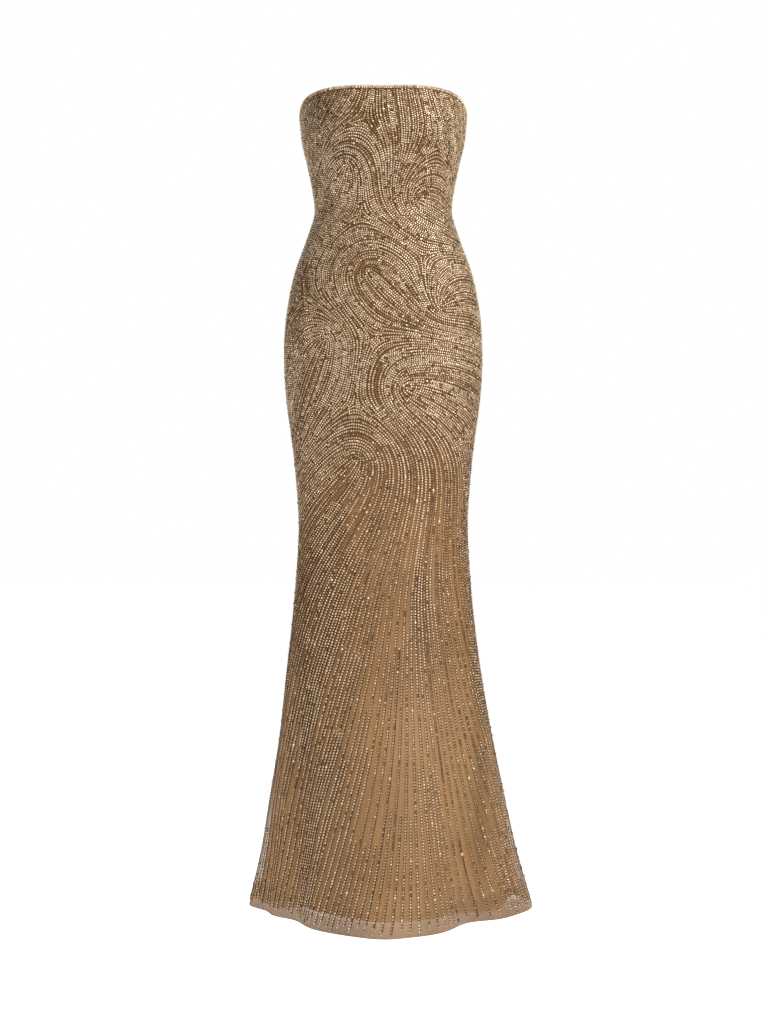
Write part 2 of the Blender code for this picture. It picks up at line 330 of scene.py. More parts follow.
class FlatCloth:
    """The form laid flat. across is measured along a level ring, from the middle of the front."""

    turn = 3.0
    drop = 10.0

    def __init__(self):
        self.angles = np.arange(-BACK_MIDDLE, BACK_MIDDLE + self.turn / 2, self.turn)
        self.heights = np.arange(HEM_HEIGHT - self.drop, CLOTH_TOP, self.drop)
        ring, level = np.meshgrid(self.angles, self.heights)
        points = form(ring, level)
        across = lengths_along(points, axis=1)
        middle = len(self.angles) // 2
        self.across = across - across[:, middle : middle + 1]
        per_degree = np.gradient(self.across, self.turn, axis=1)
        slant = np.linalg.norm(np.gradient(points, self.drop, axis=0), axis=2)
        self.tables = [table.tolist() for table in (self.across, per_degree, slant)]

    def at(self, angle, height):
        """How far across a place is, the cloth's length per degree, and its length per step of height."""
        i = (height - self.heights[0]) / self.drop
        j = (angle + BACK_MIDDLE) / self.turn
        row = min(max(int(i), 0), len(self.heights) - 2)
        place = min(max(int(j), 0), len(self.angles) - 2)
        up = i - row
        on = j - place
        found = []
        for table in self.tables:
            low = table[row]
            high = table[row + 1]
            near = low[place] + (low[place + 1] - low[place]) * on
            far = high[place] + (high[place + 1] - high[place]) * on
            found.append(near + (far - near) * up)
        return found


def as_steps(table, name):
    """A table's column read at every millimetre of height, as a plain list for quick use."""
    return column(table, name, np.arange(CLOTH_FOOT, CLOTH_TOP + 1.0, 1.0)).tolist()


class RowPlan:
    """Lays rows of beads side by side over the flat cloth, each as long as its neighbours let it."""

    cell = 4.0

    def __init__(self):
        self.cloth = FlatCloth()
        self.chance = random.Random(ROW_SEED)
        self.apart = as_steps(SPACINGS, "apart")
        self.pitches = as_steps(SPACINGS, "along")
        self.leans = as_steps(LEANS, "degrees")
        self.fans = as_steps(FANS, "degrees")
        self.tops = (neckline(np.arange(-BACK_MIDDLE, BACK_MIDDLE + 2)) - NECK_EDGE_HEIGHT).tolist()
        self.taken = {}
        self.rows = []
        self.partings = []
        for arch in ARCHES:
            lean = math.radians(self.read(self.leans, arch.height))
            parting_across = arch.across + arch.reach * math.sin(lean)
            parting_height = arch.height + arch.reach * math.cos(lean)
            self.partings.append((0.5, arch.across, arch.height))
            self.partings.append((-0.5, parting_across, parting_height))

    def read(self, steps, height):
        """A height's value in a list made by as_steps."""
        return steps[int(min(max(height, CLOTH_FOOT), CLOTH_TOP) - CLOTH_FOOT)]

    def spacing(self, angle, height):
        apart = self.read(self.apart, height)
        for bundle in BUNDLES:
            if height < bundle.start:
                grown = min((bundle.start - height) / BUNDLE_GROWTH, 1.0)
                distance = (angle - bundle.angle) / bundle.half_angle
                if abs(distance) < BUNDLE_REACH:
                    apart *= 1 - bundle.closer * grown * math.exp(-distance * distance)
        return apart

    def direction(self, across, height):
        """The way a row runs here, turning from straight up towards +across."""
        fan = self.read(self.fans, height) * math.sin((across - FAN_MIDDLE) / FAN_REACH)
        turn = math.radians(self.read(self.leans, height) - fan)
        for share, parting_across, parting_height in self.partings:
            turn += share * math.atan2(across - parting_across, height - parting_height)
        return math.sin(turn), math.cos(turn)

    def on_cloth(self, angle, height, across, end):
        if height < end or abs(angle) > BACK_MIDDLE - ROW_BACK_GAP:
            return False
        half_ring = self.cloth.at(BACK_MIDDLE if angle > 0 else -BACK_MIDDLE, height)[0]
        if abs(half_ring) - abs(across) < ZIP_GAP:
            return False
        return height < self.tops[int(angle + BACK_MIDDLE)] - ROW_TOP_GAP

    def is_clear(self, across, height, distance, row, place):
        """True if no bead of another row is that near, nor a far bead of the same row."""
        reach = int(distance / self.cell) + 1
        column_here = int(across // self.cell)
        row_here = int(height // self.cell)
        limit = distance * distance
        own = OWN_BEADS_REACH * distance / self.read(self.pitches, height)
        for i in range(column_here - reach, column_here + reach + 1):
            for j in range(row_here - reach, row_here + reach + 1):
                for other_across, other_height, other_row, other_place in self.taken.get((i, j), ()):
                    if other_row == row and abs(other_place - place) < own:
                        continue
                    if (other_across - across) ** 2 + (other_height - height) ** 2 < limit:
                        return False
        return True

    def take(self, across, height, row, place):
        key = (int(across // self.cell), int(height // self.cell))
        self.taken.setdefault(key, []).append((across, height, row, place))
        return key

    def onwards(self, across, height, before):
        """The way a row runs here, turned so that it goes on from the way before."""
        sine, cosine = self.direction(across, height)
        if sine * before[0] + cosine * before[1] < 0:
            return -sine, -cosine
        return sine, cosine

    def follow(self, angle, height, way, row, end, keys, near_share):
        """Walks from a place, up or down a row, until it meets another row or the cloth's edge."""
        points = []
        across, per_degree, slant = self.cloth.at(angle, height)
        sine, cosine = self.direction(across, height)
        before = (sine * way, cosine * way)
        place = 0
        while True:
            place += way
            pitch = self.read(self.pitches, height)
            half = pitch / 2
            sine, cosine = self.onwards(across, height, before)
            middle_height = height + half * cosine / slant
            middle, per_degree, slant = self.cloth.at(angle + half * sine / per_degree, middle_height)
            before = self.onwards(middle, middle_height, before)
            angle += pitch * before[0] / per_degree
            height += pitch * before[1] / slant
            if abs(angle) > BACK_MIDDLE:
                return points
            across, per_degree, slant = self.cloth.at(angle, height)
            if not self.on_cloth(angle, height, across, end):
                return points
            near = self.spacing(angle, height) * near_share
            if not self.is_clear(across, height, near, row, place):
                return points
            keys.append(self.take(across, height, row, place))
            points.append((angle, height))

    def try_row(self, angle, height, closeness):
        across = self.cloth.at(angle, height)[0]
        end = HEM_HEIGHT + self.chance.uniform(HEM_GAP_LEAST, HEM_GAP_MOST)
        if not self.on_cloth(angle, height, across, end):
            return None
        if not self.is_clear(across, height, self.spacing(angle, height) * closeness.room, -1, 0):
            return None
        row = len(self.rows)
        keys = [self.take(across, height, row, 0)]
        near_share = self.chance.uniform(closeness.least, closeness.most)
        ahead = self.follow(angle, height, 1, row, end, keys, near_share)
        behind = self.follow(angle, height, -1, row, end, keys, near_share)
        points = behind[::-1] + [(angle, height)] + ahead
        if len(points) < SHORTEST_ROW:
            for key in keys:
                self.taken[key] = [item for item in self.taken[key] if item[2] != row]
            return None
        self.rows.append(points)
        return points

    def places_beside(self, points):
        """Places one spacing to each side of a row, where the next rows may start."""
        places = []
        for k in range(0, len(points), NEIGHBOUR_EVERY):
            angle, height = points[k]
            across, per_degree, slant = self.cloth.at(angle, height)
            sine, cosine = self.direction(across, height)
            apart = self.spacing(angle, height)
            for side in (1, -1):
                on = self.chance.uniform(-0.5, 0.5) * self.read(self.pitches, height)
                next_angle = angle + (side * apart * cosine + on * sine) / per_degree
                next_height = height + (on * cosine - side * apart * sine) / slant
                if abs(next_angle) < BACK_MIDDLE:
                    places.append((next_angle, next_height))
        return places

    def lay(self):
        """All rows, first those that start at the arches and in the skirt, then the ones between them."""
        starts = deque()
        for arch in ARCHES:
            ring = self.cloth.across[int((arch.height - self.cloth.heights[0]) / self.cloth.drop)]
            angle = float(np.interp(arch.across, ring, self.cloth.angles))
            starts.append((angle + BESIDE_ARCH, arch.height))
        starts.append(SKIRT_FIRST_ROW)
        self.lay_from(starts, FIRST_ROWS)
        for height in np.arange(HEM_HEIGHT + HEM_GAP_MOST, FILL_TOP, FILL_STEP):
            starts = deque()
            for angle in np.arange(-BACK_MIDDLE + 1, BACK_MIDDLE, FILL_TURN):
                starts.append((float(angle), float(height)))
            self.lay_from(starts, FILLING_ROWS if height > SKIRT_START else FIRST_ROWS)
        return self.rows

    def lay_from(self, starts, closeness):
        while starts:
            points = self.try_row(*starts.popleft(), closeness)
            if points:
                starts.extend(self.places_beside(points))


# Shader helpers

# A Mix node's sockets for colours, which share their names with those for numbers
MIX_FIRST = 6
MIX_SECOND = 7
MIX_RESULT = 2


def colour(red, green, blue):
    """A colour as a picture shows it, 0 to 255, made linear for the shaders."""
    shares = [level / 255 for level in (red, green, blue)]
    return tuple(s / 12.92 if s <= 0.04045 else ((s + 0.055) / 1.055) ** 2.4 for s in shares) + (1.0,)


class Value:
    """A socket in a sum. Each operator adds the Math node that does it."""

    def __init__(self, look, socket):
        self.look = look
        self.socket = socket

    def math(self, operation, first, second):
        return self.look.node("ShaderNodeMath", {"operation": operation}, {0: first, 1: second})

    def __add__(self, other):
        return self.math("ADD", self, other)

    def __radd__(self, other):
        return self.math("ADD", other, self)

    def __sub__(self, other):
        return self.math("SUBTRACT", self, other)

    def __rsub__(self, other):
        return self.math("SUBTRACT", other, self)

    def __mul__(self, other):
        return self.math("MULTIPLY", self, other)

    def __rmul__(self, other):
        return self.math("MULTIPLY", other, self)


class Look:
    """One material, built round a Principled shader."""

    def __init__(self, name, **numbers):
        self.material = bpy.data.materials.new(name)
        self.material.use_nodes = True
        self.tree = self.material.node_tree
        self.shader = self.tree.nodes["Principled BSDF"]
        for socket, number in numbers.items():
            self.shader.inputs[socket.replace("_", " ")].default_value = number

    def node(self, kind, settings=None, sockets=None, output=0):
        made = self.tree.nodes.new(kind)
        for setting, chosen in (settings or {}).items():
            if setting == "stops":
                self.set_stops(made.color_ramp, chosen)
            else:
                setattr(made, setting, chosen)
        for socket, given in (sockets or {}).items():
            if isinstance(given, Value):
                self.tree.links.new(given.socket, made.inputs[socket])
            else:
                made.inputs[socket].default_value = given
        return Value(self, made.outputs[output])

    def set_stops(self, ramp, stops):
        while len(ramp.elements) < len(stops):
            ramp.elements.new(0.5)
        for element, (place, shade) in zip(ramp.elements, stops):
            element.position = place
            element.color = shade

    def feed(self, socket, value):
        self.tree.links.new(value.socket, self.shader.inputs[socket])

    def ramp(self, value, stops):
        """A colour for each value, from a table of colours as a picture shows them."""
        shades = [(stop, colour(*shade)) for stop, shade in stops]
        return self.node("ShaderNodeValToRGB", {"stops": shades}, {0: value})

    def curve(self, value, stops):
        """A number for each value, from a table of numbers."""
        greys = [(stop, (number, number, number, 1)) for stop, number in stops]
        return self.part_of(self.node("ShaderNodeValToRGB", {"stops": greys}, {0: value}), "X")

    def mixed(self, share, first, second, blend="MIX"):
        settings = {"data_type": "RGBA", "blend_type": blend}
        sockets = {0: share, MIX_FIRST: first, MIX_SECOND: second}
        return self.node("ShaderNodeMix", settings, sockets, output=MIX_RESULT)

    def grey(self, value):
        """The same number in all three places of a colour."""
        return self.node("ShaderNodeCombineXYZ", sockets={0: value, 1: value, 2: value})

    def from_to(self, value, low, high, start=0.0, end=1.0):
        """A value from low to high as one from start to end, and no further."""
        return self.node("ShaderNodeMapRange", sockets={0: value, 1: low, 2: high, 3: start, 4: end})

    def place(self):
        return self.node("ShaderNodeTexCoord", output="Object")

    def map_place(self):
        return self.node("ShaderNodeUVMap", {"uv_map": MAP_NAME})

    def streaks(self):
        """How far into a band of painted shade on the cloth this place is, 0 to 1."""
        return self.node("ShaderNodeAttribute", {"attribute_name": SHADE_NAME}, output="Fac")

    def part_of(self, vector, axis):
        return self.node("ShaderNodeSeparateXYZ", sockets={0: vector}, output="XYZ".index(axis))

    def scaled(self, vector, across, down, third=1.0):
        settings = {"operation": "MULTIPLY"}
        return self.node("ShaderNodeVectorMath", settings, {0: vector, 1: (across, down, third)})

    def noise(self, vector, scale, detail=2.0):
        sockets = {"Vector": vector, "Scale": scale, "Detail": detail}
        return self.node("ShaderNodeTexNoise", sockets=sockets)

    def waves(self, vector, scale, direction, distortion=0.0):
        settings = {"bands_direction": direction}
        sockets = {"Vector": vector, "Scale": scale, "Distortion": distortion, "Detail": 0.0}
        return self.node("ShaderNodeTexWave", settings, sockets, output="Fac")

    def cells(self, vector, scale, randomness=1.0):
        """How far a place is from the edge of its cell."""
        settings = {"feature": "DISTANCE_TO_EDGE"}
        sockets = {"Vector": vector, "Scale": scale, "Randomness": randomness}
        return self.node("ShaderNodeTexVoronoi", settings, sockets)

    def raise_by(self, height, strength, distance):
        sockets = {"Height": height, "Strength": strength, "Distance": distance}
        self.feed("Normal", self.node("ShaderNodeBump", sockets=sockets))

    def patchy(self, patches, dark, light, smooth, rough):
        """Soft patches of two shades, the light one rougher, as the whole finish."""
        self.feed("Base Color", self.mixed(patches, colour(*dark), colour(*light)))
        self.feed("Roughness", self.from_to(patches, 0.2, 0.8, smooth, rough))
        return self.material


# Maps. A cloth's map keeps its flat shape, and a bead's map is a card of glass shades

MAP_NAME = "OFBake"
MAP_WIDTH = 1640.0
MAP_LENGTH = 1400.0
MAP_RIM = 0.0015
INNER_WALL_SHIFT = (0.5, 0.0)
CAP_PLACES = (0.8, 0.9)
SHARP_ANGLE = 50.0
SHADE_NAME = "shade"


def card_of_glass():
    """Glass beads. Across the card the glass goes from bronze to cream, up the card from rim to crown,
    where the colour carries painted light: a painted highlight at the crown and painted shade at the rim.
    """
    glass = Look("glass_beads", Specular_IOR_Level=0.45, IOR=1.52)
    card = glass.map_place()
    shade = glass.ramp(
        glass.part_of(card, "X"),
        (
            (0.0, (78, 50, 26)),
            (0.22, (134, 98, 62)),
            (0.45, (190, 154, 114)),
            (0.7, (206, 174, 137)),
            (1.0, (214, 189, 157)),
        ),
    )
    height = glass.part_of(card, "Y")
    # Painted light: the colour is brightest at each bead's crown and darkened towards its rim
    painted_light = glass.from_to(height, 0.2, 0.86, 0.42, 1.0)
    glass.feed("Base Color", glass.mixed(1.0, shade, glass.grey(painted_light * painted_light), "MULTIPLY"))
    glass.feed("Roughness", glass.from_to(height, 0.2, 1.0, 0.42, 0.16))
    glass.feed("Metallic", glass.from_to(height, 0.3, 0.9, 0.1, 0.3))
    return glass.material


def shadow_thread_look():
    """Painted shadow beside each row, made as a dull bronze embroidery thread. Each stretch takes its own
    shade from across the card.
    """
    bronze = Look("bronze_thread", Specular_IOR_Level=0.08)
    across = bronze.part_of(bronze.map_place(), "X")
    bronze.feed("Base Color", bronze.mixed(across, colour(46, 26, 9), colour(86, 54, 26)))
    bronze.feed("Roughness", bronze.from_to(across, 0.0, 1.0, 0.65, 0.85))
    return bronze.material


def net_cloth():
    """Sheer net. It is dark bronze where the beadwork is close, partly its own colour and partly painted
    shade between the close rows, and tan and clearer in the skirt.
    """
    net = Look("sheer_net", Specular_IOR_Level=0.2)
    place = net.place()
    height = net.part_of(place, "Z")
    flat = net.scaled(net.map_place(), MAP_WIDTH, MAP_LENGTH)
    hole = net.cells(flat, scale=0.72, randomness=0.35)
    thread = net.from_to(hole, 0.06, 0.22, 1.0, 0.0)
    patches = net.noise(place, scale=9.0, detail=3.0)
    drop = net.from_to(height, 0.03, -1.29)
    # Dark high up: partly the net's own bronze, partly painted shade in the gaps between the close rows
    shade = net.ramp(
        drop,
        (
            (0.0, (100, 68, 34)),
            (0.4, (102, 70, 34)),
            (0.54, (131, 94, 56)),
            (0.8, (152, 115, 74)),
            (0.96, (152, 115, 74)),
            (1.0, (126, 98, 70)),
        ),
    )
    # The patches are the net's uneven tone; the bands down the skirt darken it as painted shade
    dimmer = net.from_to(patches, 0.3, 0.7, 0.78, 1.12) * (1.0 - net.streaks() * 0.32)
    net.feed("Base Color", net.mixed(1.0, shade, net.grey(dimmer), "MULTIPLY"))
    cover = net.curve(
        drop,
        (
            (0.0, 0.62),
            (0.4, 0.6),
            (0.56, 0.36),
            (0.8, 0.34),
            (0.972, 0.36),
            (0.985, 0.86),
        ),
    )
    edge = net.from_to(height, -1.2882, -1.2892)
    net.feed("Alpha", cover * (0.7 + thread * 0.5) + edge * 0.35)
    net.feed("Roughness", net.from_to(thread, 0.0, 1.0, 0.7, 0.5))
    return net.material


def lining_cloth():
    """Satin, with its threads running across and soft creases down the skirt. Its colour carries painted
    sheen and shade along the creases, painted shade in bands down the skirt and painted light towards the
    hem.
    """
    satin = Look("satin_lining", Specular_IOR_Level=0.35)
    place = satin.place()
    flat = satin.scaled(satin.map_place(), MAP_WIDTH, MAP_LENGTH)
    threads = satin.waves(flat, scale=0.42, direction="Y", distortion=0.6)
    slubs = satin.noise(satin.scaled(flat, across=0.05, down=1.2), scale=1.0)
    creases = satin.noise(satin.scaled(flat, across=0.03, down=0.002), scale=1.0, detail=3.0)
    patches = satin.noise(place, scale=6.0)
    shade = satin.mixed(satin.from_to(patches, 0.3, 0.7), colour(140, 101, 61), colour(176, 135, 90))
    # Painted sheen and shade: the colour is lighter along the creases, which also raise the bump
    shade = satin.mixed(satin.from_to(creases, 0.35, 0.65, 0.0, 0.4), shade, colour(194, 153, 107))
    # Painted light: the satin is lighter towards the hem
    painted_hem_light = satin.from_to(satin.part_of(place, "Z"), -1.2, -1.26, 0.0, 0.45)
    shade = satin.mixed(painted_hem_light, shade, colour(210, 168, 120))
    # Painted shade in bands down the skirt
    dimmer = satin.grey(1.0 - satin.streaks() * 0.36)
    satin.feed("Base Color", satin.mixed(1.0, shade, dimmer, "MULTIPLY"))
    satin.feed("Roughness", satin.from_to(slubs, 0.2, 0.8, 0.34, 0.52))
    satin.raise_by(threads * 0.15 + creases * 0.85, strength=0.4, distance=0.0015)
    return satin.material


def edging_cloth():
    """The rolled satin edge at the neck."""
    edging = Look("rolled_edge", Sheen_Weight=0.15)
    flat = edging.scaled(edging.map_place(), MAP_WIDTH, MAP_LENGTH)
    ribs = edging.waves(flat, scale=0.35, direction="X", distortion=0.3)
    patches = edging.noise(edging.place(), scale=30.0)
    shade = edging.mixed(edging.from_to(patches, 0.3, 0.7), colour(104, 76, 48), colour(142, 108, 72))
    edging.feed("Base Color", edging.mixed(ribs * 0.3, shade, colour(186, 152, 112)))
    edging.feed("Roughness", edging.from_to(patches, 0.2, 0.8, 0.4, 0.6))
    edging.raise_by(ribs, strength=0.5, distance=0.0004)
    return edging.material


def thread_look():
    """Sewing thread, twisted."""
    thread = Look("sewing_thread", Sheen_Weight=0.2)
    patches = thread.noise(thread.map_place(), scale=90.0)
    return thread.patchy(patches, (196, 158, 116), (228, 196, 158), smooth=0.5, rough=0.75)


def tape_cloth():
    """The zip's woven tape."""
    tape = Look("woven_tape", Sheen_Weight=0.1)
    flat = tape.scaled(tape.map_place(), MAP_WIDTH, MAP_LENGTH)
    weave = tape.waves(flat, scale=0.5, direction="X") * tape.waves(flat, scale=0.6, direction="Y")
    tape.feed("Base Color", tape.mixed(weave, colour(126, 94, 64), colour(170, 134, 96)))
    tape.feed("Roughness", tape.from_to(weave, 0.0, 1.0, 0.85, 0.65))
    tape.raise_by(weave, strength=0.5, distance=0.0003)
    return tape.material


def coil_look():
    """The nylon coil of the zip."""
    coil = Look("nylon_coil")
    patches = coil.noise(coil.map_place(), scale=60.0)
    return coil.patchy(patches, (136, 104, 70), (164, 130, 92), smooth=0.28, rough=0.42)


def metal_look():
    """Brushed, gilt zip metal, rubbed brighter on patches."""
    metal = Look("gilt_metal", Metallic=1.0)
    place = metal.place()
    brushed = metal.noise(metal.scaled(place, across=4000.0, down=4000.0, third=200.0), scale=1.0)
    rubbed = metal.noise(place, scale=350.0)
    shade = metal.mixed(metal.from_to(rubbed, 0.4, 0.7), colour(188, 152, 96), colour(222, 192, 140))
    metal.feed("Base Color", shade)
    metal.feed("Roughness", metal.from_to(brushed, 0.2, 0.8, 0.22, 0.4))
    return metal.material


def floor_look():
    floor = Look("pale_floor", Emission_Color=(1, 1, 1, 1), Emission_Strength=FLOOR_GLOW)
    clouds = floor.noise(floor.place(), scale=1.5)
    return floor.patchy(clouds, (244, 244, 244), (250, 250, 250), smooth=0.7, rough=0.8)


# Meshes


def mesh_piece(name, points, faces, material, cards):
    """A smooth mesh from points in millimetres. cards holds the map's place of each corner of each face."""
    if isinstance(faces, list):
        sizes = np.array([len(face) for face in faces])
        corners = np.concatenate(faces)
    else:
        sizes = np.full(len(faces), faces.shape[1])
        corners = faces.ravel()
    mesh = bpy.data.meshes.new(name)
    mesh.vertices.add(len(points))
    mesh.vertices.foreach_set("co", (np.asarray(points) * MM).astype(np.float32).ravel())
    mesh.loops.add(len(corners))
    mesh.loops.foreach_set("vertex_index", corners.astype(np.int32))
    mesh.polygons.add(len(sizes))
    starts = np.concatenate([[0], np.cumsum(sizes)[:-1]])
    mesh.polygons.foreach_set("loop_start", starts.astype(np.int32))
    mesh.update(calc_edges=True)
    layer = mesh.uv_layers.new(name=MAP_NAME)
    layer.data.foreach_set("uv", np.asarray(cards, np.float32).ravel())
    mesh.shade_smooth()
    mesh.set_sharp_from_angle(angle=math.radians(SHARP_ANGLE))
    mesh.materials.append(material)
    piece = bpy.data.objects.new(name, mesh)
    bpy.context.scene.collection.objects.link(piece)
    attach(piece, "gown")
    return piece


def wall(name, outer, inner, flat, material):
    """A closed wall between two like grids, whose rows run down and whose columns turn towards +angle.

    flat holds each point's place on the cut cloth, in millimetres.
    """
    rows, columns = outer.shape[:2]
    count = rows * columns
    index = np.arange(count).reshape(rows, columns)
    a, b = index[:-1, :-1].ravel(), index[:-1, 1:].ravel()
    d, c = index[1:, :-1].ravel(), index[1:, 1:].ravel()
    outer_faces = np.stack([a, d, c, b], 1)
    inner_faces = np.stack([a, b, c, d], 1) + count
    card = np.stack([flat[..., 0] / MAP_WIDTH, flat[..., 1] / MAP_LENGTH], -1).reshape(-1, 2)
    card = card - card.min(axis=0) + 2 * MAP_RIM
    shifted = card + INNER_WALL_SHIFT
    faces = [outer_faces, inner_faces]
    cards = [card[outer_faces], shifted[inner_faces - count]]
    rims = (
        (index[0, :-1], index[0, 1:], (0.0, MAP_RIM)),
        (index[-1, 1:], index[-1, :-1], (0.0, -MAP_RIM)),
        (index[1:, 0], index[:-1, 0], (-MAP_RIM, 0.0)),
        (index[:-1, -1], index[1:, -1], (MAP_RIM, 0.0)),
    )
    for near, far, out in rims:
        faces.append(np.stack([near, far, far + count, near + count], 1))
        corners = [card[near], card[far], card[far] + out, card[near] + out]
        cards.append(np.stack(corners, 1))
    points = np.concatenate([outer.reshape(-1, 3), inner.reshape(-1, 3)])
    faces = np.concatenate(faces)
    cards = np.concatenate(cards)
    return mesh_piece(name, points, faces, material, cards)


def copies(name, shape, origins, frames, sizes, cards, material):
    """Many like small shapes as one mesh. frames holds each one's along, across and up directions."""
    points, faces, heights = shape
    count = len(origins)
    placed = np.einsum("vk,nkc->nvc", points, frames) * sizes[:, None, None] + origins[:, None, :]
    corners = faces[None] + (np.arange(count) * len(points))[:, None, None]
    turned = np.arctan2(points[:, 1], points[:, 0]) / math.pi
    # Up the card, each corner's place carries its share of the shape's painted light
    offsets = np.stack([turned * CARD_WIDTH, heights * CARD_HEIGHT], -1)
    spots = np.clip(cards, CARD_LOW, CARD_HIGH)[:, None, None, :] + offsets[faces][None]
    corners = corners.reshape(-1, faces.shape[1])
    return mesh_piece(name, placed.reshape(-1, 3), corners, material, spots.reshape(-1, 2))


def alike(name, shape, rows, material):
    """Copies of one size and shade, along several rows of frames."""
    origins = np.concatenate([frames.origin for frames in rows])
    axes = np.concatenate([frames.axes() for frames in rows])
    cards = np.full((len(origins), 2), CARD_MIDDLE)
    return copies(name, shape, origins, axes, np.ones(len(origins)), cards, material)


# Shapes that are modelled once and copied

CARD_WIDTH = 0.006
CARD_HEIGHT = 0.26
CARD_LOW = (0.01, 0.42)
CARD_HIGH = (0.99, 0.73)
CARD_MIDDLE = 0.5
# How much painted shade darkens the ends of a bead, next to its neighbours
END_SHADE = 0.6
BEAD_SIDES = 6
BEAD_ALONG = 3.1
BEAD_ACROSS = 3.1
BEAD_DEPTH = 1.9
DROP_ALONG = 4.4
DROP_ACROSS = 3.0
DROP_DEPTH = 2.4
BUGLE_LENGTH = 5.4
BUGLE_WIDTH = 2.1
BUGLE_PITCH = 2.7
BUGLE_DROP = 2.6
BUGLE_BEVEL = 0.3
# The edge beads' ends get less painted shade
BUGLE_END_SHADE = 0.15
COIL_PITCH = 1.8
TOOTH_WIDTH = 1.7
TOOTH_HEIGHT = 0.85
TOOTH_DEPTH = 1.6
TOOTH_BEVEL = 0.25
TOOTH_OFF_MIDDLE = 0.5
ALONG_X = (0, math.pi / 2, 0)


def start_edit():
    bpy.ops.object.mode_set(mode="EDIT")
    bpy.ops.mesh.select_all(action="SELECT")


def resize_to(along, across, deep):
    """Scales the selected points of a new piece about its middle."""
    bpy.ops.transform.resize(value=(along, across, deep), center_override=(0, 0, 0))


def take_shape(end_shade=END_SHADE):
    """The new piece's points in millimetres, its faces and each point's painted light, a painted highlight
    at the crown and painted shade at the ends, and removes it.
    """
    bpy.ops.mesh.quads_convert_to_tris()
    bpy.ops.mesh.normals_make_consistent(inside=False)
    bpy.ops.object.mode_set(mode="OBJECT")
    bpy.ops.object.transform_apply(location=True, rotation=True, scale=True)
    piece = bpy.context.object
    points = np.array([vertex.co[:] for vertex in piece.data.vertices])
    faces = np.array([face.vertices[:] for face in piece.data.polygons])
    bpy.data.objects.remove(piece)
    # Painted light: a highlight at the crown, painted shade towards the ends
    crown = points[:, 2] / np.abs(points[:, 2]).max()
    end = np.abs(points[:, 0]) / np.abs(points[:, 0]).max()
    return points, faces, crown - end_shade * end


def seed_bead():
    """Two low pyramids, base to base, because the gown has tens of thousands of them."""
    bpy.ops.object.select_all(action="DESELECT")
    bpy.ops.mesh.primitive_cone_add(
        vertices=BEAD_SIDES, radius1=1, depth=1, end_fill_type="NOTHING", location=(0, 0, 0.5)
    )
    bpy.ops.object.transform_apply(location=True)
    start_edit()
    bpy.ops.mesh.duplicate()
    bpy.ops.transform.mirror(constraint_axis=(False, False, True), center_override=(0, 0, 0))
    bpy.ops.mesh.select_all(action="SELECT")
    bpy.ops.mesh.remove_doubles(threshold=0.01)
    resize_to(BEAD_ALONG / 2, BEAD_ACROSS / 2, BEAD_DEPTH / 2)
    return take_shape()


def shaped(add, along, across, deep, bevel=0.0, end_shade=END_SHADE, **options):
    """A primitive, given its size and any bevel, and taken as a shape."""
    bpy.ops.object.select_all(action="DESELECT")
    add(**options)
    bpy.ops.object.transform_apply(rotation=True)
    start_edit()
    resize_to(along, across, deep)
    if bevel:
        bpy.ops.mesh.bevel(offset=bevel, segments=1, affect="EDGES")
    return take_shape(end_shade)


def drop_bead():
    """A larger oval bead with flat facets."""
    half = (DROP_ALONG / 2, DROP_ACROSS / 2, DROP_DEPTH / 2)
    return shaped(bpy.ops.mesh.primitive_uv_sphere_add, *half, segments=6, ring_count=3, radius=1)


def bugle_bead():
    """A short glass tube with rounded ends."""
    half = (BUGLE_LENGTH / 2, BUGLE_WIDTH / 2, BUGLE_WIDTH / 2)
    tube_form = {"vertices": 6, "radius": 1, "depth": 2, "rotation": ALONG_X}
    return shaped(bpy.ops.mesh.primitive_cylinder_add, *half, BUGLE_BEVEL, BUGLE_END_SHADE, **tube_form)


def stitch():
    """One stitch of thread."""
    half = (STITCH_LENGTH / 2, STITCH_WIDTH / 2, STITCH_WIDTH / 2)
    thread_form = {"segments": 4, "ring_count": 3, "radius": 1, "rotation": ALONG_X}
    return shaped(bpy.ops.mesh.primitive_uv_sphere_add, *half, **thread_form)


def coil_tooth():
    """One turn of the zip's coil, which wraps its tape's edge."""
    size = (TOOTH_WIDTH, TOOTH_HEIGHT, TOOTH_DEPTH)
    return shaped(bpy.ops.mesh.primitive_cube_add, *size, TOOTH_BEVEL, size=1)


# Sewing

STITCH_LENGTH = 3.0
STITCH_WIDTH = 0.5
STITCH_PITCH = 4.2
STITCH_ABOVE_HEM = 8.0
SEAM_STITCH_OFF = 3.0
STITCHES_END = 0.4
STITCH_TURN = 0.2


class Frames:
    """Where small things sit on the cloth, and the directions along, across and up from it."""

    def __init__(self, angle, height, inset, before, after):
        base = form(angle, height)
        self.up = outwards(angle, height)
        self.origin = base - self.up * np.broadcast_to(inset, angle.shape)[..., None]
        along = form(*after) - form(*before)
        along = along - self.up * (along * self.up).sum(-1, keepdims=True)
        self.along = unit(along)
        self.across = np.cross(self.up, self.along)

    def axes(self):
        return np.stack([self.along, self.across, self.up], 1)


# Cloth pieces

NET_FACE = 1.95
NET_SHEET = 0.3
LINING_SHEET = 0.8
HEM_FOLD_HEIGHT = 9.0
HEM_FOLD_PROUD = 0.5
HEM_FOLD_ROUND = 1.5
SEAM_HALF_GAP = 0.03
UNDER_NECK_EDGE = 0.3
LINING_PART_START = -1020.0
LINING_SIDE_PART = 5.0
LINING_FRONT_PART = 3.0
LINING_FROM_ZIP = 7.0
LINING_CLOSING = 25.0
ZIP_FOOT = -441.5
ZIP_INSET = 2.85
TAPE_NEAR = 1.7
TAPE_FAR = 12.0
TAPE_SHEET = 0.6
TAPE_COLUMNS = 6
COIL_UNDER_TAPE = 0.1


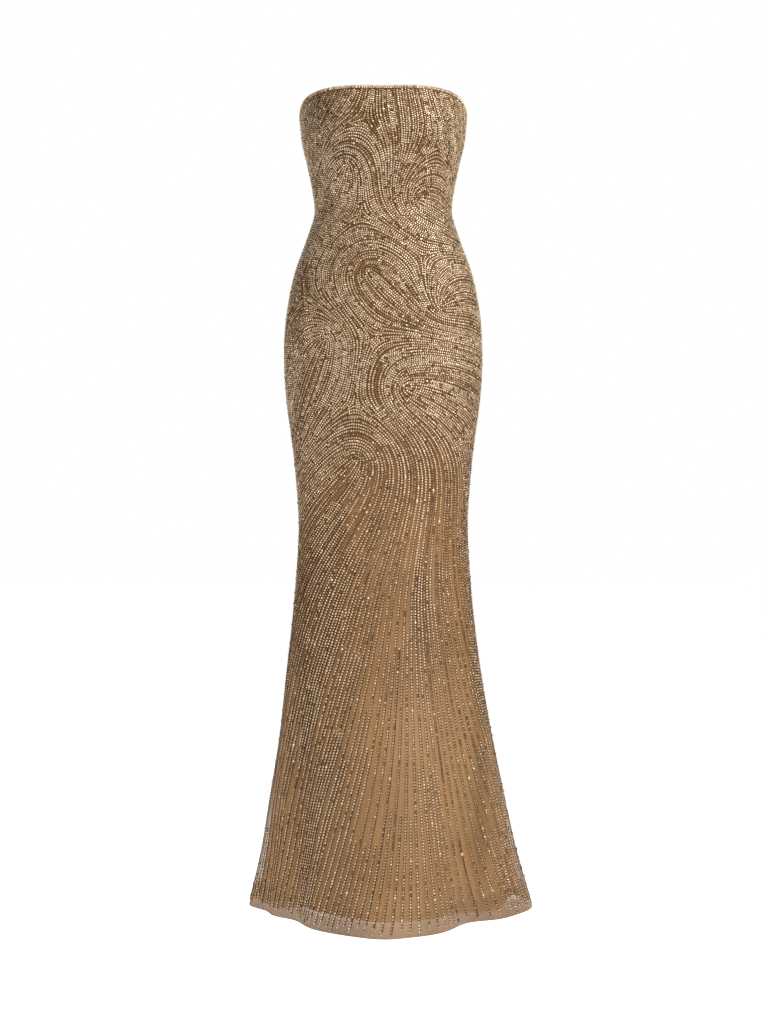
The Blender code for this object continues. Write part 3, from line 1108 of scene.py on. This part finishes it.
def beside(angle, distance, height):
    """The angle that lies a distance along the cloth from another."""
    return angle + distance * 2 * RING_TURN / np.linalg.norm(ring_step(angle, height), axis=-1)


def two_faces(angle, height, inset, sheet):
    """The outer and inner faces of a cloth of this thickness, an inset inside the bead tops."""
    base = form(angle, height)
    normal = outwards(angle, height)
    inset = np.broadcast_to(inset, angle.shape)[..., None]
    return base - normal * inset, base - normal * (inset + sheet)


def smooth_step(t):
    t = np.clip(t, 0, 1)
    return t * t * (3 - 2 * t)


def lining_inset(angle, height):
    """The lining's depth inside the bead tops, which grows near the hem, most of all at the sides."""
    grown = smooth_step((LINING_PART_START - height) / (LINING_PART_START - HEM_HEIGHT))
    side = np.abs(np.sin(np.radians(angle))) ** 4
    folded = lining_hem(angle) + HEM_FOLD_HEIGHT - height
    proud = HEM_FOLD_PROUD * smooth_step(folded / HEM_FOLD_ROUND)
    return LINING_INSET + grown * (LINING_FRONT_PART + LINING_SIDE_PART * side) - proud


# Painted shade in bands down the skirt, where the net and satin are darkened for the shade of their folds
# and of the light falling off. side is -1 in front, 1 at the back
PaintedShadeStreak = namedtuple("PaintedShadeStreak", "side x half_width start end share")
PAINTED_SHADE_STREAKS = (
    PaintedShadeStreak(-1, -126, 15, -620, -1285, 0.9),
    PaintedShadeStreak(-1, -76, 42, -600, -1400, 0.75),
    PaintedShadeStreak(-1, 156, 14, -700, -1285, 0.9),
    PaintedShadeStreak(1, -96, 16, -700, -1285, 0.7),
    PaintedShadeStreak(1, 30, 12, -760, -1285, 0.4),
    PaintedShadeStreak(1, 128, 16, -700, -1285, 0.7),
)
STREAK_GROWTH = 160.0
STREAK_FADING = 110.0


def painted_shade_at(points):
    """How far into a band of painted shade each point is, 0 to 1."""
    total = np.zeros(points.shape[:-1])
    for dark in PAINTED_SHADE_STREAKS:
        grown = smooth_step((dark.start - points[..., 2]) / STREAK_GROWTH)
        grown *= smooth_step((points[..., 2] - dark.end) / STREAK_FADING)
        on_side = points[..., 1] * dark.side > 0
        total += dark.share * grown * on_side * bell(points[..., 0] - dark.x, dark.half_width)
    return np.clip(total, 0, 1)


def net_inset(angle, height):
    return np.full(np.broadcast(angle, height).shape, NET_FACE)


def lining_zip_gap(height):
    """The lining keeps off the zip chain, and its back seam closes below the zip."""
    closing = smooth_step((ZIP_FOOT - height) / LINING_CLOSING)
    return LINING_FROM_ZIP + (SEAM_HALF_GAP - LINING_FROM_ZIP) * closing


def net_zip_gap(height):
    return np.full(np.shape(height), SEAM_HALF_GAP)


Layer = namedtuple("Layer", "name material hem inset sheet zip_gap slot")
Cut = namedtuple("Cut", "place columns first last")
PANEL_COLUMNS = 96
PANEL_ROWS = 120


def cloth_panel(layer, cut):
    """A cut piece between two side angles, from under the neck edge to its hem."""
    columns = cut.columns
    share = np.linspace(0, 1, columns + 1)[None, :]
    start = cut.first(np.array([0.0]))
    end = cut.last(np.array([0.0]))
    top = neckline(start + (end - start) * share) - NECK_EDGE_HEIGHT - UNDER_NECK_EDGE
    foot = layer.hem(start + (end - start) * share)
    height = top + (foot - top) * np.linspace(0, 1, PANEL_ROWS + 1)[:, None]
    angle = cut.first(height) + (cut.last(height) - cut.first(height)) * share
    outer, inner = two_faces(angle, height, layer.inset(angle, height), layer.sheet)
    across = lengths_along(outer, axis=1)
    length = lengths_along(outer)
    middle = across[:, columns // 2 : columns // 2 + 1]
    flat = np.stack([across - middle, height], -1)
    node = f"{layer.name}_{cut.place}"
    piece = wall(f"sewn_{node}", outer, inner, flat, layer.material)
    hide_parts(node)
    # Each point keeps how far it lies in the painted shade
    shade = piece.data.attributes.new(SHADE_NAME, "FLOAT", "POINT")
    shade.data.foreach_set("value", np.tile(painted_shade_at(form(angle, height)).ravel(), 2))
    widths = across[:, -1]
    drops = np.diff(length, axis=0).mean(axis=1)
    area = float((widths[:-1] + widths[1:]) @ drops / 2) * MM * MM
    return piece, (float(widths.max()) * MM, float(length[-1].max()) * MM), area


def side_seam(side, off):
    return lambda height: beside(np.full(np.shape(height), 90.0 * side), off * side, height)


def back_edge(side, gap):
    return lambda height: beside(np.full(np.shape(height), BACK_MIDDLE * side), -gap(height) * side, height)


def make_cloth():
    """The net and lining panels, each with its flat cut."""
    layers = (
        Layer("net", net_cloth(), net_hem, net_inset, NET_SHEET, net_zip_gap, "beaded_net"),
        Layer("lining", lining_cloth(), lining_hem, lining_inset, LINING_SHEET, lining_zip_gap, "lining"),
    )
    left = side_seam(1, -SEAM_HALF_GAP)
    right = side_seam(-1, SEAM_HALF_GAP)
    panels = {}
    for layer in layers:
        cuts = (
            Cut("front", PANEL_COLUMNS, side_seam(-1, -SEAM_HALF_GAP), side_seam(1, SEAM_HALF_GAP)),
            Cut("back_left", PANEL_COLUMNS // 2, left, back_edge(1, layer.zip_gap)),
            Cut("back_right", PANEL_COLUMNS // 2, back_edge(-1, layer.zip_gap), right),
        )
        for cut in cuts:
            panels[f"{layer.name}_{cut.place}"] = cloth_panel(layer, cut)
    return panels


def tube(name, rings, material, node):
    """A closed band through rings of points, capped at both ends."""
    count, sides = rings.shape[:2]
    index = np.arange(count * sides).reshape(count, sides)
    after = np.roll(index, -1, axis=1)
    quads = np.stack([index[:-1], index[1:], after[1:], after[:-1]], -1).reshape(-1, 4)
    run = lengths_along(rings[:, 0])
    girth = lengths_along(rings[0])
    u, v = np.broadcast_arrays(run[:, None] / MAP_WIDTH, girth[None, :] / MAP_LENGTH)
    closing = np.roll(v, -1, axis=1)
    closing[:, -1] = v[:, -1] + (v[:, -1] - v[:, -2])
    corners = [(u[:-1], v[:-1]), (u[1:], v[1:]), (u[1:], closing[1:]), (u[:-1], closing[:-1])]
    cards = np.stack([np.stack(corner, -1) for corner in corners], 2).reshape(-1, 2) + 4 * MAP_RIM
    faces = [list(quad) for quad in quads]
    faces += [list(index[0]), list(index[-1][::-1])]
    turns = np.arange(sides) / sides * 2 * math.pi
    ring_card = np.stack([np.cos(turns), np.sin(turns)], -1) * MAP_RIM
    cards = np.concatenate([cards, ring_card + CAP_PLACES[0], ring_card[::-1] + CAP_PLACES[1]])
    piece = mesh_piece(name, rings.reshape(-1, 3), faces, material, cards)
    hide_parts(node)
    return piece


EDGE_COLUMNS = 180
EDGE_ROUND = 1.6
EDGE_ROUND_STEPS = 4
EDGE_FACE = 1.9
EDGE_BACK = LINING_INSET + LINING_WALL
EDGE_TOP = 0.5


def edge_profile():
    """The rolled edge cut across, as how far in and how far down each point is."""
    points = [(EDGE_FACE, NECK_EDGE_HEIGHT)]
    for k in range(EDGE_ROUND_STEPS + 1):
        turn = math.pi / 2 * k / EDGE_ROUND_STEPS
        inset = EDGE_FACE + EDGE_ROUND * (1 - math.cos(turn))
        points.append((inset, EDGE_TOP + EDGE_ROUND * (1 - math.sin(turn))))
    for k in range(1, EDGE_ROUND_STEPS + 1):
        turn = math.pi / 2 * k / EDGE_ROUND_STEPS
        inset = EDGE_BACK - EDGE_ROUND * (1 - math.sin(turn))
        points.append((inset, EDGE_TOP + EDGE_ROUND * (1 - math.cos(turn))))
    points.append((EDGE_BACK, NECK_EDGE_HEIGHT))
    return np.array(points)


def make_neck_edge():
    """The rolled edge, which closes the net and the lining together, open at the zip."""
    end = float(beside(np.array(BACK_MIDDLE), -2 * SEAM_HALF_GAP, 0.0))
    angle = np.linspace(-end, end, EDGE_COLUMNS + 1)[:, None]
    profile = edge_profile()
    height = neckline(angle) - profile[None, :, 1]
    angle = np.broadcast_to(angle, height.shape)
    rings = form(angle, height) - outwards(angle, height) * profile[None, :, :1]
    return tube("rolled_neck_edge", rings, edging_cloth(), "neck_edge")


# Beads

SEED_INSET = 1.0
DROP_INSET = 0.8
BUGLE_INSET = 0.95
BEAD_SIZE_SPREAD = 0.06
SKIRT_SMALLER = 0.1
BUNDLE_LARGER = 0.2
BUNDLE_BRIGHTER = 0.4
BEAD_WANDER = 0.12
BEAD_TIP = 0.16
DROP_APART = 8.5
DROP_APART_SKIRT = 11.0
DROP_CLEARS = 2.9
DROPS_KEPT = 0.5
DARK_DROPS = 0.5
DROP_SIZE_SPREAD = 0.14
DARK_CLUSTERS = 1300
CLUSTER_REACH = 3.2
# Share of the seed beads that are painted as glints
PAINTED_GLINT_SHARE = 0.05
RUN_ENDS = 0.03
BEAD_SEED = 23
RING_STEPS = 1440
EDGE_SIZE_SPREAD = 0.02
EDGE_BEADS_END = 0.6
# Threads that paint each skirt row's shadow, beside it and between its beads
SHADOW_THREAD_START = -520.0
SHADOW_THREAD_START_SPREAD = 220.0
SHADOW_THREAD_STEP = 3
SHADOW_THREAD_BESIDE = 1.0
SHADOW_THREAD_SUNK = 0.45
SHADOW_THREAD_WIDTH = 2.5
SHADOW_THREAD_DEPTH = 0.8
SHADOW_THREAD_TONES = (0.02, 0.95)
SHADOW_THREAD_CARD = 0.5
SHADOW_THREAD_CARD_SIDE = 0.05
SHADOW_THREAD_CARD_WIDTH = 0.01
SHORTEST_SHADOW_THREAD = 3
PATCH_LENGTHS = (150, 95, 62, 41, 30)
PATCH_WAVES = 3
PATCH_POWER = 0.4
PATCH_LEVEL = 5.0

# Tones across the card of glass, from dark to cream, and the share of the beads that has each
Glass = namedtuple("Glass", "tone share")
GLASSES = (
    Glass(0.82, 0.62),
    Glass(0.58, 0.28),
    Glass(0.28, 0.1),
)
EDGE_GLASSES = (
    Glass(0.8, 0.55),
    Glass(0.55, 0.3),
    Glass(0.25, 0.15),
)
# How bright beads are, up the card, which moves their painted light, and places on it as a tone and a
# brightness
BRIGHTNESS = 0.6
EDGE_BRIGHTNESS = 0.5
PAINTED_GLINT = (1.0, 0.73)
DARK_CLUSTER = (0.14, 0.55)
DARK_DROP = (0.2, 0.58)
LIGHT_DROP = (0.88, 0.7)
# How far one bead's place strays from its glass's, and how far slow patches of the cloth move it
Stray = namedtuple("Stray", "tone brightness")
BEAD_STRAY = Stray(0.07, 0.08)
DROP_STRAY = Stray(0.06, 0.05)
EDGE_STRAY = Stray(0.06, 0.1)
PATCH_STRAY = Stray(0.1, 0.05)

Bunch = namedtuple("Bunch", "name least most top foot")
SIDES = (
    Bunch("front", -90, 90, 60, -1300),
    Bunch("back_left", 90, 181, 60, -1300),
    Bunch("back_right", -181, -90, 60, -1300),
)
BUNCHES = (
    Bunch("front_bodice", -90, 90, 60, -360),
    Bunch("front_hip", -90, 90, -360, -700),
    Bunch("front_skirt", -90, 90, -700, -1300),
    Bunch("back_left_bodice", 90, 181, 60, -460),
    Bunch("back_left_skirt", 90, 181, -460, -1300),
    Bunch("back_right_bodice", -181, -90, 60, -460),
    Bunch("back_right_skirt", -181, -90, -460, -1300),
)


def bundled(angle, height):
    """How much closer the rows lie in a bundle."""
    total = np.zeros(np.broadcast(angle, height).shape)
    for bundle in BUNDLES:
        grown = np.clip((bundle.start - height) / BUNDLE_GROWTH, 0, 1)
        total += bundle.closer * grown * bell(angle_between(angle, bundle.angle), bundle.half_angle)
    return total


def patches_of_tone(across, height, chance):
    """Slow changes of tone over the cloth, about -1 to 1."""
    total = np.zeros(len(across))
    for length in PATCH_LENGTHS:
        for _ in range(PATCH_WAVES):
            turn = chance.uniform(0, 2 * math.pi)
            start = chance.uniform(0, 2 * math.pi)
            way = math.cos(turn) * across + math.sin(turn) * height
            total += np.sin(way * 2 * math.pi / length + start) * (length / PATCH_LENGTHS[0]) ** PATCH_POWER
    return total / PATCH_LEVEL


def tipped(axes, chance):
    """Each frame turned a little out of true, as beads sit on their thread."""
    along, across, up = axes[:, 0], axes[:, 1], axes[:, 2]
    tips = chance.normal(0, BEAD_TIP, (len(axes), 2))
    up = unit(up + along * tips[:, :1] + across * tips[:, 1:])
    along = unit(along - up * (along * up).sum(-1, keepdims=True))
    return np.stack([along, np.cross(up, along), up], 1)


def neighbours(row_of):
    """For each bead the ones before and after it, or the bead itself at a row's end."""
    order = np.arange(len(row_of))
    before = np.where(np.roll(row_of, 1) == row_of, order - 1, order)
    before[0] = 0
    after = np.where(np.roll(row_of, -1) == row_of, order + 1, order)
    after[-1] = len(row_of) - 1
    return before, after


def pick_glass(starts_row, across, height, close, tree, chance):
    """Each seed bead's place on the card: runs of one glass, slow patches, painted glints and dark
    clusters.
    """
    count = len(across)
    run = np.cumsum((chance.random(count) < RUN_ENDS) | starts_row)
    patch = patches_of_tone(across, height, chance)
    tones, shares = zip(*GLASSES)
    tone = chance.choice(tones, p=shares, size=run.max() + 1)[run]
    tone = tone + PATCH_STRAY.tone * patch + chance.normal(0, BEAD_STRAY.tone, count)
    bright = BRIGHTNESS + PATCH_STRAY.brightness * patch + chance.normal(0, BEAD_STRAY.brightness, count)
    cards = np.stack([tone, bright + BUNDLE_BRIGHTER * close], -1)
    # Painted glints: a few beads take the brightest cream place on the card
    cards[chance.random(count) < PAINTED_GLINT_SHARE] = PAINTED_GLINT
    for centre in chance.choice(count, DARK_CLUSTERS, replace=False):
        near = tree.find_range((across[centre], height[centre], 0), CLUSTER_REACH)
        cards[[item[1] for item in near]] = DARK_CLUSTER
    return cards


def pick_drops(across, height, tree, chance):
    """Which beads of the rows give way to a larger oval bead, and which seed beads stay."""
    skirt = smooth_step((SKIRT_START - height) / (SKIRT_START - SKIRT_FULL))
    keep = np.ones(len(across), bool)
    blocked = np.zeros(len(across), bool)
    drops = []
    for k in chance.permutation(len(across)):
        if blocked[k]:
            continue
        apart = DROP_APART + (DROP_APART_SKIRT - DROP_APART) * skirt[k]
        here = tree.find_range((across[k], height[k], 0), apart)
        blocked[[item[1] for item in here]] = True
        if chance.random() < DROPS_KEPT:
            keep[[item[1] for item in here if item[2] < DROP_CLEARS]] = False
            drops.append(k)
    return np.array(drops), keep, skirt


def scatter(kind, bunches, angle, height, shape, origins, axes, sizes, cards, glass):
    """Copies of one bead, as one piece for each bunch."""
    made = {}
    for bunch in bunches:
        here = (angle > bunch.least) & (angle <= bunch.most)
        here &= (height <= bunch.top) & (height > bunch.foot)
        name = f"{kind}_{bunch.name}"
        made[name] = copies(
            name, shape, origins[here], axes[here], sizes[here], cards[here], glass
        )
    return made


def make_beads(rows, cloth):
    """Seed beads along every row, larger oval beads among them, edge beads, and threads by the rows that
    paint the rows' shadow.
    """
    chance = np.random.default_rng(BEAD_SEED)
    row_of = np.repeat(np.arange(len(rows)), [len(row) for row in rows])
    angle, height = np.concatenate([np.array(row) for row in rows]).T
    before, after = neighbours(row_of)
    places = np.stack([angle, height])
    frames = Frames(angle, height, SEED_INSET, places[:, before], places[:, after])
    across = np.array([cloth.at(a, h)[0] for a, h in zip(angle, height)])
    tree = kd_of(np.stack([across, height], -1))
    close = bundled(angle, height)
    starts_row = before == np.arange(len(angle))
    cards = pick_glass(starts_row, across, height, close, tree, chance)
    drops, keep, skirt = pick_drops(across, height, tree, chance)

    glass = card_of_glass()
    origins = frames.origin + frames.across * chance.normal(0, BEAD_WANDER, (len(angle), 1))
    axes = tipped(frames.axes(), chance)
    sizes = 1 + chance.normal(0, BEAD_SIZE_SPREAD, len(angle))
    sizes = sizes - SKIRT_SMALLER * skirt + BUNDLE_LARGER * close
    seeds = [values[keep] for values in (origins, axes, sizes, cards)]
    made = scatter("seed_beads", BUNCHES, angle[keep], height[keep], seed_bead(), *seeds, glass)

    lifted = frames.origin + frames.up * (SEED_INSET - DROP_INSET)
    dark = chance.random(len(drops)) < DARK_DROPS
    drop_cards = np.where(dark[:, None], DARK_DROP, LIGHT_DROP)
    drop_cards[:, 0] += chance.normal(0, DROP_STRAY.tone, len(drops))
    drop_cards[:, 1] += chance.normal(0, DROP_STRAY.brightness, len(drops))
    drop_sizes = 1 + chance.normal(0, DROP_SIZE_SPREAD, len(drops))
    ovals = (lifted[drops], axes[drops], drop_sizes, drop_cards)
    made.update(scatter("oval_beads", SIDES, angle[drops], height[drops], drop_bead(), *ovals, glass))
    made["edge_beads"] = make_edge_beads(glass, chance)
    made.update(make_shadow_threads(row_of, frames, angle, height, chance))
    return made


def shadow_thread_faces(first, rings, tone):
    """Faces and map corners of one shadow thread, whose four-sided rings start at a first point's number.
    """
    faces = []
    cards = []
    far = tone + SHADOW_THREAD_CARD_WIDTH
    for near in range(first, first + 4 * (rings - 1), 4):
        for edge in range(4):
            after = (edge + 1) % 4
            faces.append((near + edge, near + after, near + 4 + after, near + 4 + edge))
            low = SHADOW_THREAD_CARD + SHADOW_THREAD_CARD_SIDE * edge
            high = low + SHADOW_THREAD_CARD_SIDE
            cards.append([(tone, low), (tone, high), (far, high), (far, low)])
    last = first + 4 * (rings - 1)
    faces.append((first + 3, first + 2, first + 1, first))
    faces.append((last, last + 1, last + 2, last + 3))
    high = SHADOW_THREAD_CARD + SHADOW_THREAD_CARD_WIDTH
    cards += [[(tone, SHADOW_THREAD_CARD), (far, SHADOW_THREAD_CARD), (far, high), (tone, high)]] * 2
    return faces, cards


def make_shadow_threads(row_of, frames, angle, height, chance):
    """Flat bronze threads down the skirt, one under the edge of each row of beads, as painted shadow beside
    the row and in the gaps between its beads.
    """
    bronze = shadow_thread_look()
    side = np.sign((frames.across * ring_step(angle, height)).sum(-1, keepdims=True))
    middles = frames.origin + frames.across * side * SHADOW_THREAD_BESIDE - frames.up * SHADOW_THREAD_SUNK
    corners = np.array([(-1, 0), (0, 1), (1, 0), (0, -1)]) / 2
    made = {}
    for part in SIDES:
        points = []
        faces = []
        cards = []
        placed = np.flatnonzero((angle > part.least) & (angle <= part.most) & (height < SHADOW_THREAD_START))
        leaves = (np.diff(placed) > 1) | (np.diff(row_of[placed]) > 0)
        for stretch in np.split(placed, np.flatnonzero(leaves) + 1):
            first_height = SHADOW_THREAD_START - chance.uniform(0, SHADOW_THREAD_START_SPREAD)
            chosen = stretch[height[stretch] < first_height][::SHADOW_THREAD_STEP]
            if len(chosen) < SHORTEST_SHADOW_THREAD:
                continue
            tone = chance.uniform(*SHADOW_THREAD_TONES)
            new_faces, new_cards = shadow_thread_faces(len(points) * 4, len(chosen), tone)
            faces += new_faces
            cards += new_cards
            for k in chosen:
                wide = corners[:, :1] * SHADOW_THREAD_WIDTH * frames.across[k]
                deep = corners[:, 1:] * SHADOW_THREAD_DEPTH * frames.up[k]
                points.append(middles[k] + wide + deep)
        name = f"bronze_thread_{part.name}"
        spots = np.array(cards).reshape(-1, 2)
        made[name] = mesh_piece(name, np.concatenate(points), np.array(faces), bronze, spots)
    return made


def kd_of(places):
    tree = kdtree.KDTree(len(places))
    for k, (across, height) in enumerate(places.tolist()):
        tree.insert((across, height, 0), k)
    tree.balance()
    return tree


def even_angles(height, pitch, least, most):
    """Angles an even distance apart along a ring. height is the ring's height at an array of angles."""
    fine = np.linspace(least, most, RING_STEPS + 1)
    run = lengths_along(form(fine, height(fine)))
    wanted = np.arange(pitch / 2, run[-1], run[-1] / round(run[-1] / pitch))
    return np.interp(wanted, run, fine)


def make_edge_beads(glass, chance):
    """Upright tubes of glass, side by side along the neck edge."""
    end = BACK_MIDDLE - EDGE_BEADS_END
    angle = even_angles(neckline, BUGLE_PITCH, -end, end)
    middle = neckline(angle) - BUGLE_DROP
    frames = Frames(angle, middle, BUGLE_INSET, (angle, middle - 1), (angle, middle + 1))
    count = len(angle)
    tones, shares = zip(*EDGE_GLASSES)
    tone = chance.choice(tones, p=shares, size=count) + chance.normal(0, EDGE_STRAY.tone, count)
    cards = np.stack([tone, EDGE_BRIGHTNESS + chance.normal(0, EDGE_STRAY.brightness, count)], -1)
    sizes = 1 + chance.normal(0, EDGE_SIZE_SPREAD, count)
    axes = frames.axes()
    return copies("edge_beads", bugle_bead(), frames.origin, axes, sizes, cards, glass)


def make_stitches():
    """Hand stitches that hold up the lining's hem, and the lining's side seams above it."""

    def line(angle):
        return lining_hem(angle) + STITCH_ABOVE_HEM

    end = BACK_MIDDLE - STITCHES_END
    angle = even_angles(line, STITCH_PITCH, -end, end)
    before, after = angle - STITCH_TURN, angle + STITCH_TURN
    rows = [(angle, line(angle), (before, line(before)), (after, line(after)))]
    height = np.arange(float(line(90.0)) + STITCH_PITCH, LINING_PART_START, STITCH_PITCH)
    for side in (-90.0, 90.0):
        for off in (-SEAM_STITCH_OFF, SEAM_STITCH_OFF):
            angle = beside(np.full(len(height), side), off, height)
            rows.append((angle, height, (angle, height - 1), (angle, height + 1)))
    frames = []
    for angle, height, before, after in rows:
        inset = lining_inset(angle, height) - STITCH_WIDTH / 4
        frames.append(Frames(angle, height, inset, before, after))
    return alike("lining_stitches", stitch(), frames, thread_look())


# The zip


def make_zip():
    """Woven tapes, the coil between them, and gilt metal on the slider and its pull."""
    woven = tape_cloth()
    top = float(neckline(BACK_MIDDLE)) - NECK_EDGE_HEIGHT - UNDER_NECK_EDGE
    height = np.linspace(top, ZIP_FOOT, PANEL_ROWS + 1)[:, None]
    for word, first, last in (("left", -TAPE_FAR, -TAPE_NEAR), ("right", TAPE_NEAR, TAPE_FAR)):
        off = np.linspace(first, last, TAPE_COLUMNS + 1)[None, :]
        angle = beside(np.full(height.shape, BACK_MIDDLE), off, height)
        level = np.broadcast_to(height, angle.shape)
        outer, inner = two_faces(angle, level, ZIP_INSET, TAPE_SHEET)
        flat = np.stack(np.broadcast_arrays(off, height), -1)
        tape = wall(f"woven_tape_{word}", outer, inner, flat, woven)
        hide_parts(f"zip_tape_{word}")
    make_coil(top)
    metal = metal_look()
    for node in ("zip_slider", "zip_pull"):
        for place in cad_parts[node].material_slots:
            place.material = metal


def make_coil(top):
    """Two rows of turns that lock between each other."""
    height = np.arange(top - COIL_PITCH, ZIP_FOOT + COIL_PITCH, -COIL_PITCH)
    rows = []
    for side in (-1, 1):
        level = height + side * COIL_PITCH / 4
        angle = beside(np.full(len(level), BACK_MIDDLE), side * TOOTH_OFF_MIDDLE, level)
        inset = ZIP_INSET + TOOTH_DEPTH / 2 + COIL_UNDER_TAPE
        before, after = (angle - RING_TURN, level), (angle + RING_TURN, level)
        rows.append(Frames(angle, level, inset, before, after))
    coil = alike("zip_coil_turns", coil_tooth(), rows, coil_look())
    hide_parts("zip_chain")


# Floor, lights and camera

VIEW_HEIGHT = -0.646
VIEW_DISTANCE = 2.8
VIEW_ACROSS = 0.0013
LENS = 60.0
SENSOR_WIDTH = 36.0
FLOOR_SIZE = 40.0
FLOOR_DROP = 0.25
FLOOR_GLOW = 0.6
ROOM_LIGHT = 0.43


def make_stage():
    bpy.ops.object.select_all(action="DESELECT")
    bpy.ops.mesh.primitive_plane_add(size=FLOOR_SIZE, location=(0, 0, 0))
    floor = bpy.context.object
    floor.name = "floor"
    floor.data.transform(Matrix.Translation((0, 0, HEM_HEIGHT * MM - FLOOR_DROP)))
    floor.data.materials.append(floor_look())
    world = bpy.data.worlds.new("studio")
    world.use_nodes = True
    tree = world.node_tree
    shown = tree.nodes["Background"]
    shown.inputs["Color"].default_value = (1, 1, 1, 1)
    shown.inputs["Strength"].default_value = 1.0
    lighting = tree.nodes.new("ShaderNodeBackground")
    lighting.inputs["Color"].default_value = (1, 1, 1, 1)
    lighting.inputs["Strength"].default_value = ROOM_LIGHT
    ray = tree.nodes.new("ShaderNodeLightPath")
    either = tree.nodes.new("ShaderNodeMixShader")
    tree.links.new(ray.outputs["Is Camera Ray"], either.inputs[0])
    tree.links.new(lighting.outputs[0], either.inputs[1])
    tree.links.new(shown.outputs[0], either.inputs[2])
    tree.links.new(either.outputs[0], tree.nodes["World Output"].inputs["Surface"])
    bpy.context.scene.world = world
    bpy.context.scene.view_settings.view_transform = "Standard"


def softbox(name, place, target, width, height, power):
    light = bpy.data.lights.new(name, "AREA")
    light.shape = "RECTANGLE"
    light.size = width
    light.size_y = height
    light.energy = power
    box = bpy.data.objects.new(name, light)
    box.location = place
    box.rotation_euler = (Vector(target) - Vector(place)).to_track_quat("-Z", "Y").to_euler()
    bpy.context.scene.collection.objects.link(box)


Box = namedtuple("Box", "name place target width height power")
SOFTBOXES = (
    Box("key_light", (1.9, -2.1, 1.3), (0, 0, VIEW_HEIGHT), 0.8, 1.4, 145),
    Box("fill_light", (-2.2, -1.4, -1.2), (0, 0, -1.2), 0.6, 0.6, 22),
    Box("back_light", (-0.6, 2.6, 0.8), (0, 0, VIEW_HEIGHT), 1.2, 1.6, 20),
)


def make_lights():
    for box in SOFTBOXES:
        softbox(*box)


def make_camera():
    lens = bpy.data.cameras.new("camera")
    lens.lens = LENS
    lens.sensor_width = SENSOR_WIDTH
    camera = bpy.data.objects.new("camera", lens)
    camera.location = (VIEW_ACROSS, -VIEW_DISTANCE, VIEW_HEIGHT)
    camera.rotation_euler = (math.pi / 2, 0, 0)
    bpy.context.scene.collection.objects.link(camera)
    bpy.context.scene.camera = camera


def make_gown():
    panels = make_cloth()
    edge = make_neck_edge()
    plan = RowPlan()
    beads = make_beads(plan.lay(), plan.cloth)
    stitches = make_stitches()
    make_zip()
    for name, (piece, cut, area) in panels.items():
        place = name.split("_", 1)[1]
        carried = []
        if name.startswith("net"):
            carried = [bead for bead_name, bead in beads.items() if f"_{place}" in bead_name]
        if name == "net_front":
            carried += [edge, beads["edge_beads"]]
        if name == "lining_front":
            carried = [stitches]


make_gown()
make_stage()
make_lights()
make_camera()
